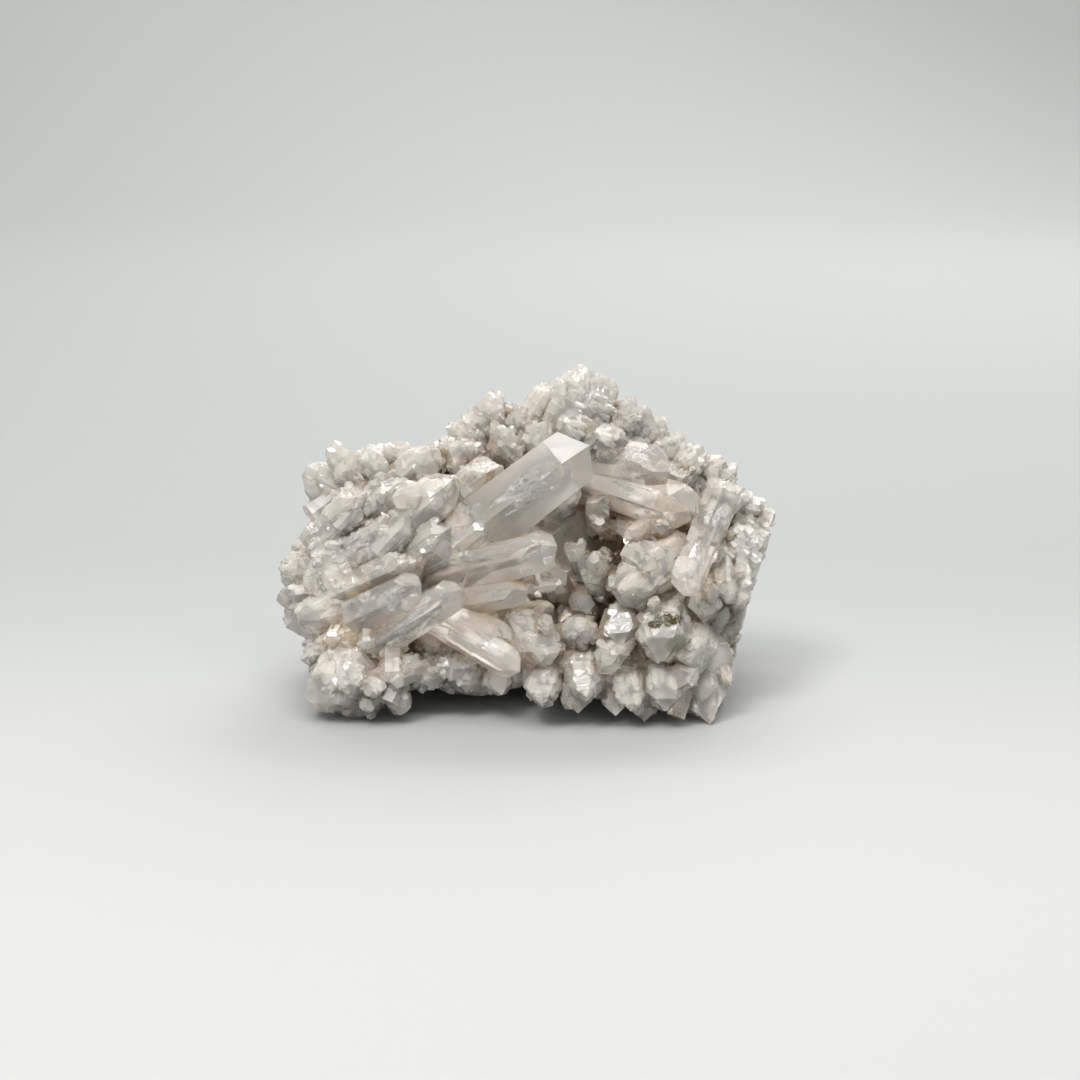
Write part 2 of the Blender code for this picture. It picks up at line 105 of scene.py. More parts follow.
MILKY_POINTS = (
    ((7, 4, 53), (15, 4.5, 73), 13.5),
    ((-38, -2, 38), (-25.6, -9, 49.9), 8),
    ((-45, -3, 35), (-33.4, -8, 47.3), 9),
    ((-32, -5, 34), (-15, -12, 51.1), 10.5),
    ((-43, -5, 29), (-25, -14, 41), 9),
    ((-43, -7, 23), (-22.3, -17, 34.6), 9),
    ((-31, -5, 28), (-13.3, -15, 41.8), 11),
    ((-24, -4, 38), (-6, -12, 54), 9),
    ((-30, 0, 44), (-19, -6, 56), 8),
    ((-36, -8, 22), (-50, -13, 20), 9),
    ((-36, -8, 14), (-48, -16, 12.5), 8.5),
    ((-44, 1, 27), (-55, 0, 27.1), 8),
    ((-44, 0, 23), (-54.2, -2, 22.4), 7),
    ((-44, 2, 19.5), (-53.8, -1, 18.7), 6.5),
    ((-43, 6, 30), (-52.5, 8, 30.5), 7),
    ((-38, 4, 42), (-48.8, 2, 50), 9),
    ((-36, 4, 44), (-41.5, 2, 54.6), 9),
    ((-38, 4, 40), (-47.4, 0, 42.6), 8),
    ((-12, 4, 50), (-15.4, -8, 56.5), 7.5),
    ((-9, 4, 50), (-16.3, 0, 60.2), 8),
    ((-7, 5, 52), (-12.6, 2, 63.4), 6.5),
    ((-2, 6, 53), (-3, 3, 63.8), 6.5),
    ((-3, 0, 50), (-6, -7, 60.5), 6.5),
    ((-2, 5, 52), (7, 6, 68), 9),
    ((1, 2, 52), (4, -6, 61.5), 7),
    ((17, 4, 52), (17.6, -8, 59), 7.5),
    ((19, 6, 54), (22, 2, 65), 7.5),
    ((24, 7, 50), (29.2, 4, 60), 7),
    ((28, 5, 47), (32.5, 0, 57), 7.5),
    ((32, 6, 45), (37.6, 2, 54.6), 7.5),
    ((35, 6, 43), (42.4, 2, 51.6), 7.5),
    ((36, 2, 42), (43.8, -6, 47), 7.5),
    ((30, 2, 46), (33, -9, 50.5), 7.5),
    ((38, 2, 40), (38.5, -14, 42), 8),
    ((46, 8, 22), (55.2, 6, 39.5), 9),
    ((44, -4, 36), (46.4, -15, 22.8), 6.8),
    ((41, -5, 36), (42.6, -16, 25.6), 6.2),
    ((46, 0, 38), (49, -9, 27.4), 6.2),
    ((37, -6, 29), (37.2, -20, 22.6), 8.5),
    ((19, -5, 22), (12.9, -18, 35.3), 8),
    ((33, -10, 34), (18.3, -23, 28.5), 10.5),
    ((4, 2, 40), (9, -7, 48.5), 7),
    ((-3, -11, 21), (4.6, -26, 14.8), 9),
    ((3, -12, 14.5), (14.2, -21, 21.4), 6),
    ((22, -10, 23), (19, -25.5, 20), 8),
    ((30, -10, 23), (27.6, -28.5, 18), 11.5),
    ((36, -10, 18), (34.2, -26, 14.6), 9),
    ((4, -11, 14), (2.8, -28, 7.4), 8),
    ((12, -11, 14), (12, -28.5, 9), 8),
    ((22, -12, 12), (22.4, -27.5, 5.4), 7.5),
    ((29, -11, 13), (29, -28, 6), 8.5),
    ((36.5, -9, 12), (38.8, -22.5, 0.4), 10),
    ((-30, -12, 13), (-26.6, -22.5, 2.0), 6),
    ((-36, -8, 16), (-44, -23, 3), 11.5),
    ((-36, -8, 14), (-37.5, -26, 8.5), 9),
)

# A place lies on a large point when it is within this many widths of its axis, and between these
# parts of its length.
POINT_REACH = 0.62
POINT_SPAN = (-0.02, 1.05)

# How far apart along their noise the growth lines of two large points are, so that no two are alike.
GROWTH_APART = 100

# The milky mass inside, as overlapping lumps: centre, then half sizes.
CORE_LUMPS = (
    ((-38, -9, 8), (9, 12, 14)),
    ((-40, 3, 26), (11, 17, 15)),
    ((-33, 7, 41), (11, 14, 11)),
    ((-19, 4, 17), (17, 20, 17)),
    ((-18, 6, 36), (16, 17, 17)),
    ((-12, -9, 11), (17, 8, 10)),
    ((6, 8, 14), (18, 24, 14)),
    ((4, 14, 36), (18, 14, 20)),
    ((1, 9, 51), (13, 12, 9)),
    ((18, 9, 50), (12, 12, 12)),
    ((32, 5, 13), (20, 20, 17)),
    ((39, 8, 25), (19, 17, 18)),
    ((33, 7, 42), (14, 13, 10)),
    ((15, -14, 10), (17, 8, 7)),
    ((36, -11, 8), (9, 9, 12)),
    ((-16, 18, 14), (28, 14, 19)),
    ((-37, 8, 9), (12, 12, 13)),
    ((20, 18, 15), (28, 14, 21)),
)
# How far it lies below the surface, and the grain of its mesh.
CORE_DEPTH = 1.5
CORE_GRAIN = 1.2

# The largest clear point and the frosted ones, by their place in the list.
MAIN_POINT = 0
FROSTED_POINTS = (4, 5, 6, 7, 8)

# How full of veils the clear and the milky points are, with the clear points that differ, by their
# place in the list. Then how deep a veil lies at least, and the share of bright cracks among them.
CLEAR_VEILS = 1.0
MILKY_VEILS = 0.45
VEIL_SHARES = {MAIN_POINT: 1.2, 4: 4.5, 5: 3.5, 8: 2.0, 9: 2.0}
VEIL_DEPTH = 0.35
CRACK_SHARE = 0.16

# Half the thickness of a veil, as a share of its width, and the number of corners on its rim.
VEIL_HALF = 0.004
VEIL_CORNERS = 9

# Where the small crystals of the crust grow: centre and half sizes of each patch, how many, their
# width, how far they stand out in widths, and which way they lean.
CRUST_PATCHES = {
    "right_slope": ((37, -3, 50), (15, 15, 10), 640, 1.45, 0.6, (0.1, -0.3, 0.5)),
    "top_right": ((21, 0, 59), (12, 13, 9), 340, 1.5, 0.6, (0.0, -0.3, 0.5)),
    "top_block": ((14, 4, 70), (10, 10, 6), 100, 1.2, 0.25, (0.0, 0.0, 0.3)),
    "top_left": ((-8, -1, 59), (14, 12, 9), 130, 2.1, 0.7, (-0.1, -0.1, 0.8)),
    "upper_left": ((-34, 0, 51), (18, 13, 8), 150, 2.0, 0.6, (-0.2, -0.1, 0.6)),
    "left_druse": ((-37, -10, 38), (13, 12, 12), 240, 1.5, 0.5, (0.5, -0.3, 0.4)),
    "left_end": ((-51, 0, 25), (7, 12, 11), 60, 2.4, 0.5, (-0.6, -0.2, 0.0)),
    "left_foot": ((-38, -16, 8), (14, 13, 10), 140, 2.2, 0.45, (-0.1, -0.6, 0.1)),
    "hollow": ((20, -6, 38), (14, 14, 12), 70, 2.4, 0.7, (0.0, -0.5, 0.2)),
    "arch": ((-19, -18, 13), (12, 10, 8), 200, 1.3, 0.6, (0.0, -0.6, -0.2)),
    "middle": ((4, -16, 21), (14, 12, 10), 90, 2.3, 0.5, (0.1, -0.6, 0.1)),
    "lower_edge": ((0, -18, 6), (34, 12, 6), 110, 1.9, 0.4, (0.0, -0.5, -0.1)),
    "lower_right": ((33, -17, 16), (18, 14, 14), 100, 2.6, 0.35, (0.1, -0.5, 0.1)),
    "right_rim": ((49, -2, 34), (8, 14, 15), 150, 2.2, 0.6, (0.5, -0.4, 0.2)),
    "left_rear": ((-47, 15, 20), (12, 14, 24), 260, 2.4, 0.45, (-0.4, 0.5, 0.1)),
    "back_top": ((-4, 12, 52), (44, 9, 16), 300, 2.2, 0.6, (0.0, 0.2, 0.7)),
}
STAINED_PATCHES = ("hollow", "lower_right")

# The length of a crust crystal and how far apart they stand, in their own widths, the largest of
# them as a share of the usual width, and how many directions the crystals of a patch share.
CRUST_LENGTH = 2.0
CRUST_SPACING = 0.75
CRUST_LARGEST = 1.5
CRUST_FAMILIES = 6

# How far a small crystal or chip may pass the solid's box.
BOX_MARGIN = 0.8

# How far from its axis a clear point keeps the crust away, in its own widths, and the patches where
# that differs.
CLEAR_REACH = 0.75
PATCH_REACH = {"arch": 0.54, "left_druse": 0.85}

# How likely a drawn place is kept on an open face, and how much more likely in a hollow.
OPEN_CHANCE = 0.3
RECESS_CHANCE = 1.6

# The area of the large points' faces that carries one low step, on milky and on clear points, and
# the lengths of the steps in their own widths. They grow on faces whose normal is this far in line
# with the point.
STEP_AREAS = {"milky": 8.0, "clear": 130.0}
STEP_LENGTHS = (1.3, 1.8, 2.6)
STEP_FACING = (-0.4, 0.85)

# The faces whose normal is this far in line with the point are those of its tip. The main point has
# no steps beyond this part of its length.
TIP_FACING = 0.3
SMOOTH_FROM = 0.45

# Chips of the broken right end and back: centre and half sizes of the patch, how many, their width.
CHIPS = (((48, 5, 25), (9, 26, 30), 230, 2.8), ((0, 24, 22), (58, 6, 26), 260, 3.4))

# Thin crystals that lie along the left slope, in line with the large ones there: centre and half
# sizes of the patch, the way they point, their length in their own widths, and how far apart they
# lie at least.
SLOPE_NEEDLES = ((-29, -9, 37), (19, 13, 17))
NEEDLE_WAY = Vector((0.75, -0.30, 0.55))
NEEDLE_LENGTH = 3.2
NEEDLE_SPACING = 2.2

# How far a fold of the surface is looked into, to tell a hollow from an open face, and with how
# many rays.
RECESS_REACH = 16.0
RECESS_RAYS = 20

# How closed in a place is where its painted brown shade starts, and where that painted shade is full.
PAINTED_SHADE_SPAN = (0.28, 0.78)

# Broken faces: a point on each and its normal, how far from it a face may stand, how closely its
# normal follows, and the height below which a face that looks down is part of the underside.
RIGHT_BREAK = (Vector((52.3, 14, 26)) + GROWN_SHIFT, Vector((0.957, -0.172, -0.234)).normalized())
BACK_BREAK = (Vector((0, 23.5, 20)) + GROWN_SHIFT, Vector((0.05, 0.97, 0.18)).normalized())
BREAK_REACH = 2.2
BREAK_FACING = 0.8
UNDERSIDE_TOP = 6.0

# How often each edge of a break is cut, the height of its relief, and the noise that gives it: its
# grain in cycles per millimetre, and the value that leaves a place where it is.
BREAK_CUTS = 5
BREAK_RELIEF = 0.55
BREAK_GRAIN = 0.22
BREAK_LEVEL = 1.4

# The middle of the cluster, where the lights and the camera look, in metres.
MIDDLE = Vector((0.0026, 0, 0.0345))

# The lights in metres: their place, where they look and their size.
LIGHTS = {
    "key": ((-0.26, -0.31, 0.65), MIDDLE, (0.2, 0.2)),
    "ceiling": ((0.0, -0.26, 0.865), MIDDLE, (0.6, 0.6)),
    "back_panel": ((0.35, 0.66, 0.62), MIDDLE, (0.85, 0.6)),
    "glint": ((0.3, -0.3, 0.5), MIDDLE, (0.06, 0.06)),
    "wall_wash": ((0.0, 0.75, 1.2), (0.0, 1.25, 0.15), (1.2, 0.3)),
}
ROOM_COLOUR = (0.985, 1.0, 0.985, 1)
CAMERA_LENS = 68.8

# The backdrop in metres: half its width, its front edge, where it starts to bend up, the radius of
# the bend and the top of the wall. Between two depths the floor's colour changes to the far one, a
# painted shade of the light falling off behind the cluster.
STAGE_HALF = 1.8
STAGE_FRONT = -1.2
BEND_START = 0.8
BEND_RADIUS = 0.5
BEND_STEPS = 16
WALL_TOP = 2.2
SHADE_DEPTHS = (-0.12, 0.12)

# How often a ray of light may bounce, enough for clear quartz with veils in it.
BOUNCES = {
    "max_bounces": 8,
    "transmission_bounces": 8,
    "transparent_max_bounces": 4,
    "diffuse_bounces": 3,
    "glossy_bounces": 2,
}


def face_outward(angle, slant=math.pi / 2):
    """A unit vector that leans from +Z by the slant, on the side the angle gives."""
    ring = math.sin(slant)
    return Vector((math.cos(angle) * ring, math.sin(angle) * ring, math.cos(slant)))


def cut_away(bm, point, normal):
    """Cuts off what lies beyond a plane, and closes the cut."""
    geometry = bm.verts[:] + bm.edges[:] + bm.faces[:]
    cut = bmesh.ops.bisect_plane(
        bm, geom=geometry, plane_co=point, plane_no=normal, clear_outer=True, dist=1e-6
    )
    rim = [part for part in cut["geom_cut"] if isinstance(part, bmesh.types.BMEdge)]
    if rim:
        bmesh.ops.contextual_create(bm, geom=rim)


def closed_shape(bm):
    """The corners and triangles of a closed shape, as two arrays."""
    bmesh.ops.triangulate(bm, faces=bm.faces[:])
    bmesh.ops.recalc_face_normals(bm, faces=bm.faces)
    spots = np.array([vert.co for vert in bm.verts])
    faces = np.array([[vert.index for vert in face.verts] for face in bm.faces])
    bm.free()
    return spots, faces


def crystal_shape(length, chance):
    """A crystal one unit wide, with its root at the origin and its tip at that length up Z."""
    bm = bmesh.new()
    bmesh.ops.create_cube(bm, size=1.0)
    bar = Matrix.Translation((0, 0, length / 2)) @ Matrix.Diagonal((2, 2, length, 1))
    bmesh.ops.transform(bm, matrix=bar, verts=bm.verts)
    apex = Vector((0, 0, length))
    for side in range(SIDES):
        angle = side * math.tau / SIDES
        cut_away(bm, face_outward(angle) * chance.uniform(*SIDE_REACH), face_outward(angle, SIDE_SLANT))
        lift = Vector((0, 0, chance.uniform(*FACE_LIFTS[side % 2])))
        cut_away(bm, apex + lift, face_outward(angle, POINT_SLANT))
    bmesh.ops.remove_doubles(bm, verts=bm.verts, dist=0.02)
    return closed_shape(bm)


def chip_shape(chance):
    """A broken chip, about one unit wide, with flat faces."""
    bm = bmesh.new()
    bmesh.ops.create_cube(bm, size=1.0)
    for _ in range(6):
        way = Vector(chance.gauss(0, 1) for _ in range(3)).normalized()
        cut_away(bm, way * chance.uniform(0.32, 0.5), way)
    return closed_shape(bm)


def veil_shape(chance):
    """A thin closed plate with a ragged rim, one unit long along Z and one unit wide along X."""
    bend = [chance.uniform(-0.2, 0.2) for _ in range(3)]
    rim = []
    for index in range(VEIL_CORNERS):
        angle = index * math.tau / VEIL_CORNERS
        reach = 0.5 * chance.uniform(0.55, 1.0)
        rim.append((math.cos(angle) * reach, math.sin(angle) * reach))
    spots = []
    for side in (-VEIL_HALF, VEIL_HALF):
        spots.append((0, side, 0))
        for x, z in rim:
            spots.append((x, bend[0] * x * x + bend[1] * z * z + bend[2] * x * z + side, z))
    faces = []
    other = VEIL_CORNERS + 1
    for index in range(VEIL_CORNERS):
        low, high = 1 + index, 1 + (index + 1) % VEIL_CORNERS
        faces += [(0, low, high), (other, high + other, low + other)]
        faces += [(low, low + other, high + other), (low, high + other, high)]
    return np.array(spots), np.array(faces)


def loose_way(chance, reach):
    """A small random vector, to loosen a direction with."""
    return Vector(chance.uniform(-reach, reach) for _ in range(3))


def way_frame(along, turn):
    """The rotation that takes +Z to a direction, after a turn about its own axis."""
    base = Vector(along).normalized().to_track_quat("Z", "Y").to_matrix()
    return np.array(base @ Matrix.Rotation(turn, 3, "Z"))


def spot_between(a, b, c, chance):
    """A random place on the triangle of three corners."""
    u, v = sorted((chance.random(), chance.random()))
    return a * u + b * (v - u) + c * (1 - v)


def grown_points(rows):
    """The large points in the solid's own place."""
    return [(Vector(foot) + GROWN_SHIFT, Vector(tip) + GROWN_SHIFT, width) for foot, tip, width in rows]


GROWN_CLEAR = grown_points(CLEAR_POINTS)
GROWN_ALL = grown_points(CLEAR_POINTS + MILKY_POINTS)


def nearest_point(spot, points, reach=POINT_REACH):
    """The index of the large point that a place lies on, or None. The reach is in widths."""
    best, found = reach, None
    for index, (foot, tip, width) in enumerate(points):
        on_axis, part = intersect_point_line(spot, foot, tip)
        away = (spot - on_axis).length / width
        if POINT_SPAN[0] < part < POINT_SPAN[1] and away < best:
            best, found = away, index
    return found


def solid_copy():
    """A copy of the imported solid's mesh, in millimetres and in triangles."""
    bm = bmesh.new()
    bm.from_mesh(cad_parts[NODE].data)
    bmesh.ops.remove_doubles(bm, verts=bm.verts, dist=1e-7)
    bmesh.ops.scale(bm, vec=(1 / MM, 1 / MM, 1 / MM), verts=bm.verts)
    bmesh.ops.triangulate(bm, faces=bm.faces[:])
    return bm


class Skin:
    """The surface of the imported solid, in millimetres, to ask about places on it."""

    def __init__(self):
        bm = solid_copy()
        self.tree = BVHTree.FromBMesh(bm)
        self.triangles = [
            (*(vert.co.copy() for vert in face.verts), face.normal.copy(), face.calc_area())
            for face in bm.faces
        ]
        bm.free()
        self.rays = []
        golden = math.pi * (3 - math.sqrt(5))
        for index in range(RECESS_RAYS):
            slant = math.acos(math.sqrt(1 - (index + 0.5) / RECESS_RAYS))
            self.rays.append(face_outward(golden * index, slant))

    def recess(self, spot, normal):
        """How far a place is closed in by what stands around it, from 0 to 1."""
        turn = normal.to_track_quat("Z", "Y")
        start = spot + normal * 0.05
        closed = 0.0
        for ray in self.rays:
            gap = self.tree.ray_cast(start, turn @ ray, RECESS_REACH)[3]
            if gap is not None:
                closed += 1 - gap / RECESS_REACH
        return closed / RECESS_RAYS

    def in_break(self, spot, normal):
        """Whether a face is part of a break: the right end, the back or the underside."""
        for point, way in (RIGHT_BREAK, BACK_BREAK):
            if abs((spot - point).dot(way)) < BREAK_REACH and normal.dot(way) > BREAK_FACING:
                return True
        return normal.z < -BREAK_FACING and spot.z < UNDERSIDE_TOP

    def height(self, spot):
        """How far a place stands out of the solid. It is below zero inside."""
        near, normal, _, gap = self.tree.find_nearest(Vector(spot))
        return gap if (Vector(spot) - near).dot(normal) > 0 else -gap


SKIN = Skin()


def sits_well(spots, limit):
    """Whether a shape stays close to the solid's box, above what the cluster stands on, and stands
    out of the solid no farther than the limit."""
    low, high = (np.array(corner) / MM for corner in CAD_BOX)
    within = (spots > low - BOX_MARGIN).all() and (spots < high + BOX_MARGIN).all()
    if not within or spots[:, 2].min() <= 0:
        return False
    return all(SKIN.height(spot) <= limit for spot in spots)


def placed_shape(points, way, turn, root):
    """The points of a shape whose Z is turned to a direction, with its origin at the root."""
    return points @ way_frame(way, turn).T + np.array(root)


def new_piece(name, mesh, materials):
    """Puts a mesh in the scene as a piece that rides on the cluster."""
    for material in materials:
        mesh.materials.append(material)
    piece = bpy.data.objects.new(name, mesh)
    bpy.context.scene.collection.objects.link(piece)
    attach(piece, "root")
    return piece


def joined_piece(name, shapes, material, values=None):
    """One piece from many closed shapes, each given by its spots and faces. The values say how closed
    in each shape is, and fill the attribute from which the material paints shade into the colour."""
    if not shapes:
        raise RuntimeError(f"{name}: no shape found a place on the cluster")
    spots, faces, start, recess = [], [], 0, []
    for index, (points, corners) in enumerate(shapes):
        spots.append(points)
        faces.append(corners + start)
        start += len(points)
        if values is not None:
            recess += [values[index]] * len(points)
    mesh = bpy.data.meshes.new(name)
    mesh.from_pydata((np.concatenate(spots) * MM).tolist(), [], np.concatenate(faces).tolist())
    mesh.update()
    if values is not None:
        mesh.attributes.new("recess", "FLOAT", "POINT").data.foreach_set("value", recess)
    return new_piece(name, mesh, [material])


def node_group(name, inputs, outputs):
    """An empty shader group with its sockets, and its input and output nodes."""
    group = bpy.data.node_groups.new(name, "ShaderNodeTree")
    for label, kind, value in inputs:
        socket = group.interface.new_socket(label, in_out="INPUT", socket_type=kind)
        socket.default_value = value
    for label, kind in outputs:
        group.interface.new_socket(label, in_out="OUTPUT", socket_type=kind)
    return group, group.nodes.new("NodeGroupInput"), group.nodes.new("NodeGroupOutput")


def noise_node(tree, scale, detail, roughness=0.5, distortion=0.0):
    """A noise over the piece's own coordinates. The scale is in cycles per metre, or a socket."""
    place = tree.nodes.new("ShaderNodeTexCoord")
    cloud = tree.nodes.new("ShaderNodeTexNoise")
    cloud.inputs["Detail"].default_value = detail
    cloud.inputs["Roughness"].default_value = roughness
    cloud.inputs["Distortion"].default_value = distortion
    tree.links.new(place.outputs["Object"], cloud.inputs["Vector"])
    if isinstance(scale, (int, float)):
        cloud.inputs["Scale"].default_value = scale
    else:
        tree.links.new(scale, cloud.inputs["Scale"])
    return cloud.outputs["Fac"]


def spread_node(tree, value, low, high, to_low=0.0, to_high=1.0):
    """Stretches the part of a value between low and high."""
    spread = tree.nodes.new("ShaderNodeMapRange")
    for label, number in (("From Min", low), ("From Max", high), ("To Min", to_low), ("To Max", to_high)):
        spread.inputs[label].default_value = number
    tree.links.new(value, spread.inputs["Value"])
    return spread.outputs["Result"]


def maths_node(tree, operation, *values):
    """A Math node. Each value is a socket or a number."""
    maths = tree.nodes.new("ShaderNodeMath")
    maths.operation = operation
    for socket, given in zip(maths.inputs, values):
        if isinstance(given, (int, float)):
            socket.default_value = given
        else:
            tree.links.new(given, socket)
    return maths.outputs["Value"]


def mix_node(tree, factor, first, second):
    """A colour between two colours, by a factor from 0 to 1. Each colour is a socket or a value."""
    mixed = tree.nodes.new("ShaderNodeMix")
    mixed.data_type = "RGBA"
    tree.links.new(factor, mixed.inputs["Factor"])
    for label, given in (("A", first), ("B", second)):
        if isinstance(given, bpy.types.NodeSocket):
            tree.links.new(given, mixed.inputs[label])
        else:
            mixed.inputs[label].default_value = (*given, 1)
    return mixed.outputs["Result"]


def cloud_group():
    """Milky clouds with fine specks in the quartz: their mask, and the colour they give."""
    group, given, made = node_group(
        "quartz clouds",
        (
            ("Clear Colour", "NodeSocketColor", (1, 1, 1, 1)),
            ("Cloudy Colour", "NodeSocketColor", (0.8, 0.8, 0.8, 1)),
            ("Cloud Scale", "NodeSocketFloat", 150.0),
            ("Speck Scale", "NodeSocketFloat", 1500.0),
        ),
        (("Colour", "NodeSocketColor"), ("Mask", "NodeSocketFloat")),
    )
    cloud = spread_node(group, noise_node(group, given.outputs["Cloud Scale"], 3, 0.65), 0.4, 0.62)
    specks = spread_node(group, noise_node(group, given.outputs["Speck Scale"], 1, 0.6), 0.52, 0.66)
    mask = maths_node(group, "MULTIPLY", cloud, 0.65)
    mask = maths_node(group, "ADD", mask, maths_node(group, "MULTIPLY", specks, 0.35))
    colour = mix_node(group, mask, given.outputs["Clear Colour"], given.outputs["Cloudy Colour"])
    group.links.new(colour, made.inputs["Colour"])
    group.links.new(mask, made.inputs["Mask"])
    return group


def painted_shade_group():
    """Painted shade: a warm brown laid into the colour where a place is closed in, darkening the hollows
    and the gaps between crystals.
    """
    group, given, made = node_group(
        "recess tint",
        (
            ("Colour", "NodeSocketColor", (1, 1, 1, 1)),
            ("Recess Colour", "NodeSocketColor", (0.6, 0.5, 0.35, 1)),
            ("Unevenness", "NodeSocketFloat", 0.5),
        ),
        (("Colour", "NodeSocketColor"),),
    )
    closed = group.nodes.new("ShaderNodeAttribute")
    closed.attribute_name = "recess"
    uneven = maths_node(group, "MULTIPLY_ADD", given.outputs["Unevenness"], 0.3, -0.15)
    depth = spread_node(group, maths_node(group, "ADD", closed.outputs["Fac"], uneven), *PAINTED_SHADE_SPAN)
    colour = mix_node(group, depth, given.outputs["Colour"], given.outputs["Recess Colour"])
    group.links.new(colour, made.inputs["Colour"])
    return group


def stain_group():
    """A ragged stain around one place, on whatever colour is under it."""
    group, given, made = node_group(
        "mineral stain",
        (
            ("Colour", "NodeSocketColor", (1, 1, 1, 1)),
            ("Stain Colour", "NodeSocketColor", (0.2, 0.17, 0.05, 1)),
            ("Place", "NodeSocketVector", (0, 0, 0)),
            ("Reach", "NodeSocketVector", (0.002, 0.002, 0.002)),
            ("Unevenness", "NodeSocketFloat", 0.5),
            ("Raggedness", "NodeSocketFloat", 0.8),
        ),
        (("Colour", "NodeSocketColor"),),
    )
    place = group.nodes.new("ShaderNodeTexCoord")
    away = group.nodes.new("ShaderNodeVectorMath")
    away.operation = "SUBTRACT"
    group.links.new(place.outputs["Object"], away.inputs[0])
    group.links.new(given.outputs["Place"], away.inputs[1])
    scaled = group.nodes.new("ShaderNodeVectorMath")
    scaled.operation = "DIVIDE"
    group.links.new(away.outputs["Vector"], scaled.inputs[0])
    group.links.new(given.outputs["Reach"], scaled.inputs[1])
    length = group.nodes.new("ShaderNodeVectorMath")
    length.operation = "LENGTH"
    group.links.new(scaled.outputs["Vector"], length.inputs[0])
    ragged = maths_node(group, "SUBTRACT", given.outputs["Unevenness"], 0.5)
    ragged = maths_node(group, "MULTIPLY", ragged, given.outputs["Raggedness"])
    ragged = maths_node(group, "MULTIPLY", ragged, 3.0)
    inside = spread_node(group, maths_node(group, "ADD", length.outputs["Value"], ragged), 1.1, 0.7)
    colour = mix_node(group, inside, given.outputs["Colour"], given.outputs["Stain Colour"])
    group.links.new(colour, made.inputs["Colour"])
    return group


def relief_group():
    """Low relief of the faces: growth lines across the sides, and fine etching."""
    group, given, made = node_group(
        "growth relief",
        (
            ("Lines", "NodeSocketFloat", 0.5),
            ("Etching", "NodeSocketFloat", 0.5),
            ("Etching Scale", "NodeSocketFloat", 900.0),
        ),
        (("Height", "NodeSocketFloat"),),
    )
    grown = group.nodes.new("ShaderNodeAttribute")
    grown.attribute_name = "growth"
    lines = group.nodes.new("ShaderNodeTexNoise")
    lines.noise_dimensions = "1D"
    lines.inputs["Scale"].default_value = 1.6
    lines.inputs["Detail"].default_value = 2.0
    lines.inputs["Roughness"].default_value = 0.7
    group.links.new(grown.outputs["Fac"], lines.inputs["W"])
    etched = noise_node(group, given.outputs["Etching Scale"], 2)
    height = maths_node(group, "MULTIPLY", lines.outputs["Fac"], given.outputs["Lines"])
    part = maths_node(group, "MULTIPLY", etched, given.outputs["Etching"])
    height = maths_node(group, "ADD", height, part)
    group.links.new(height, made.inputs["Height"])
    return group


def placed_group(tree, name, build, values):
    """Puts a shared group in a material, and builds it the first time. Gives its node."""
    node = tree.nodes.new("ShaderNodeGroup")
    node.node_tree = bpy.data.node_groups.get(name) or build()
    for label, value in values.items():
        node.inputs[label].default_value = value
    return node


# Stains: colour, place, reach and raggedness of each.
STAINS = (
    ((0.21, 0.165, 0.06), (28.2, -22.0, 24.1), (2.4, 9.0, 0.85), 0.7),
    ((0.21, 0.165, 0.06), (26.2, -22.0, 23.3), (1.4, 9.0, 0.7), 0.6),
    ((0.36, 0.275, 0.17), (18.5, -6.0, 34.0), (5.5, 9.0, 3.0), 0.5),
    ((0.60, 0.60, 0.45), (31.0, -25.0, 19.2), (2.0, 8.0, 2.0), 0.15),
)
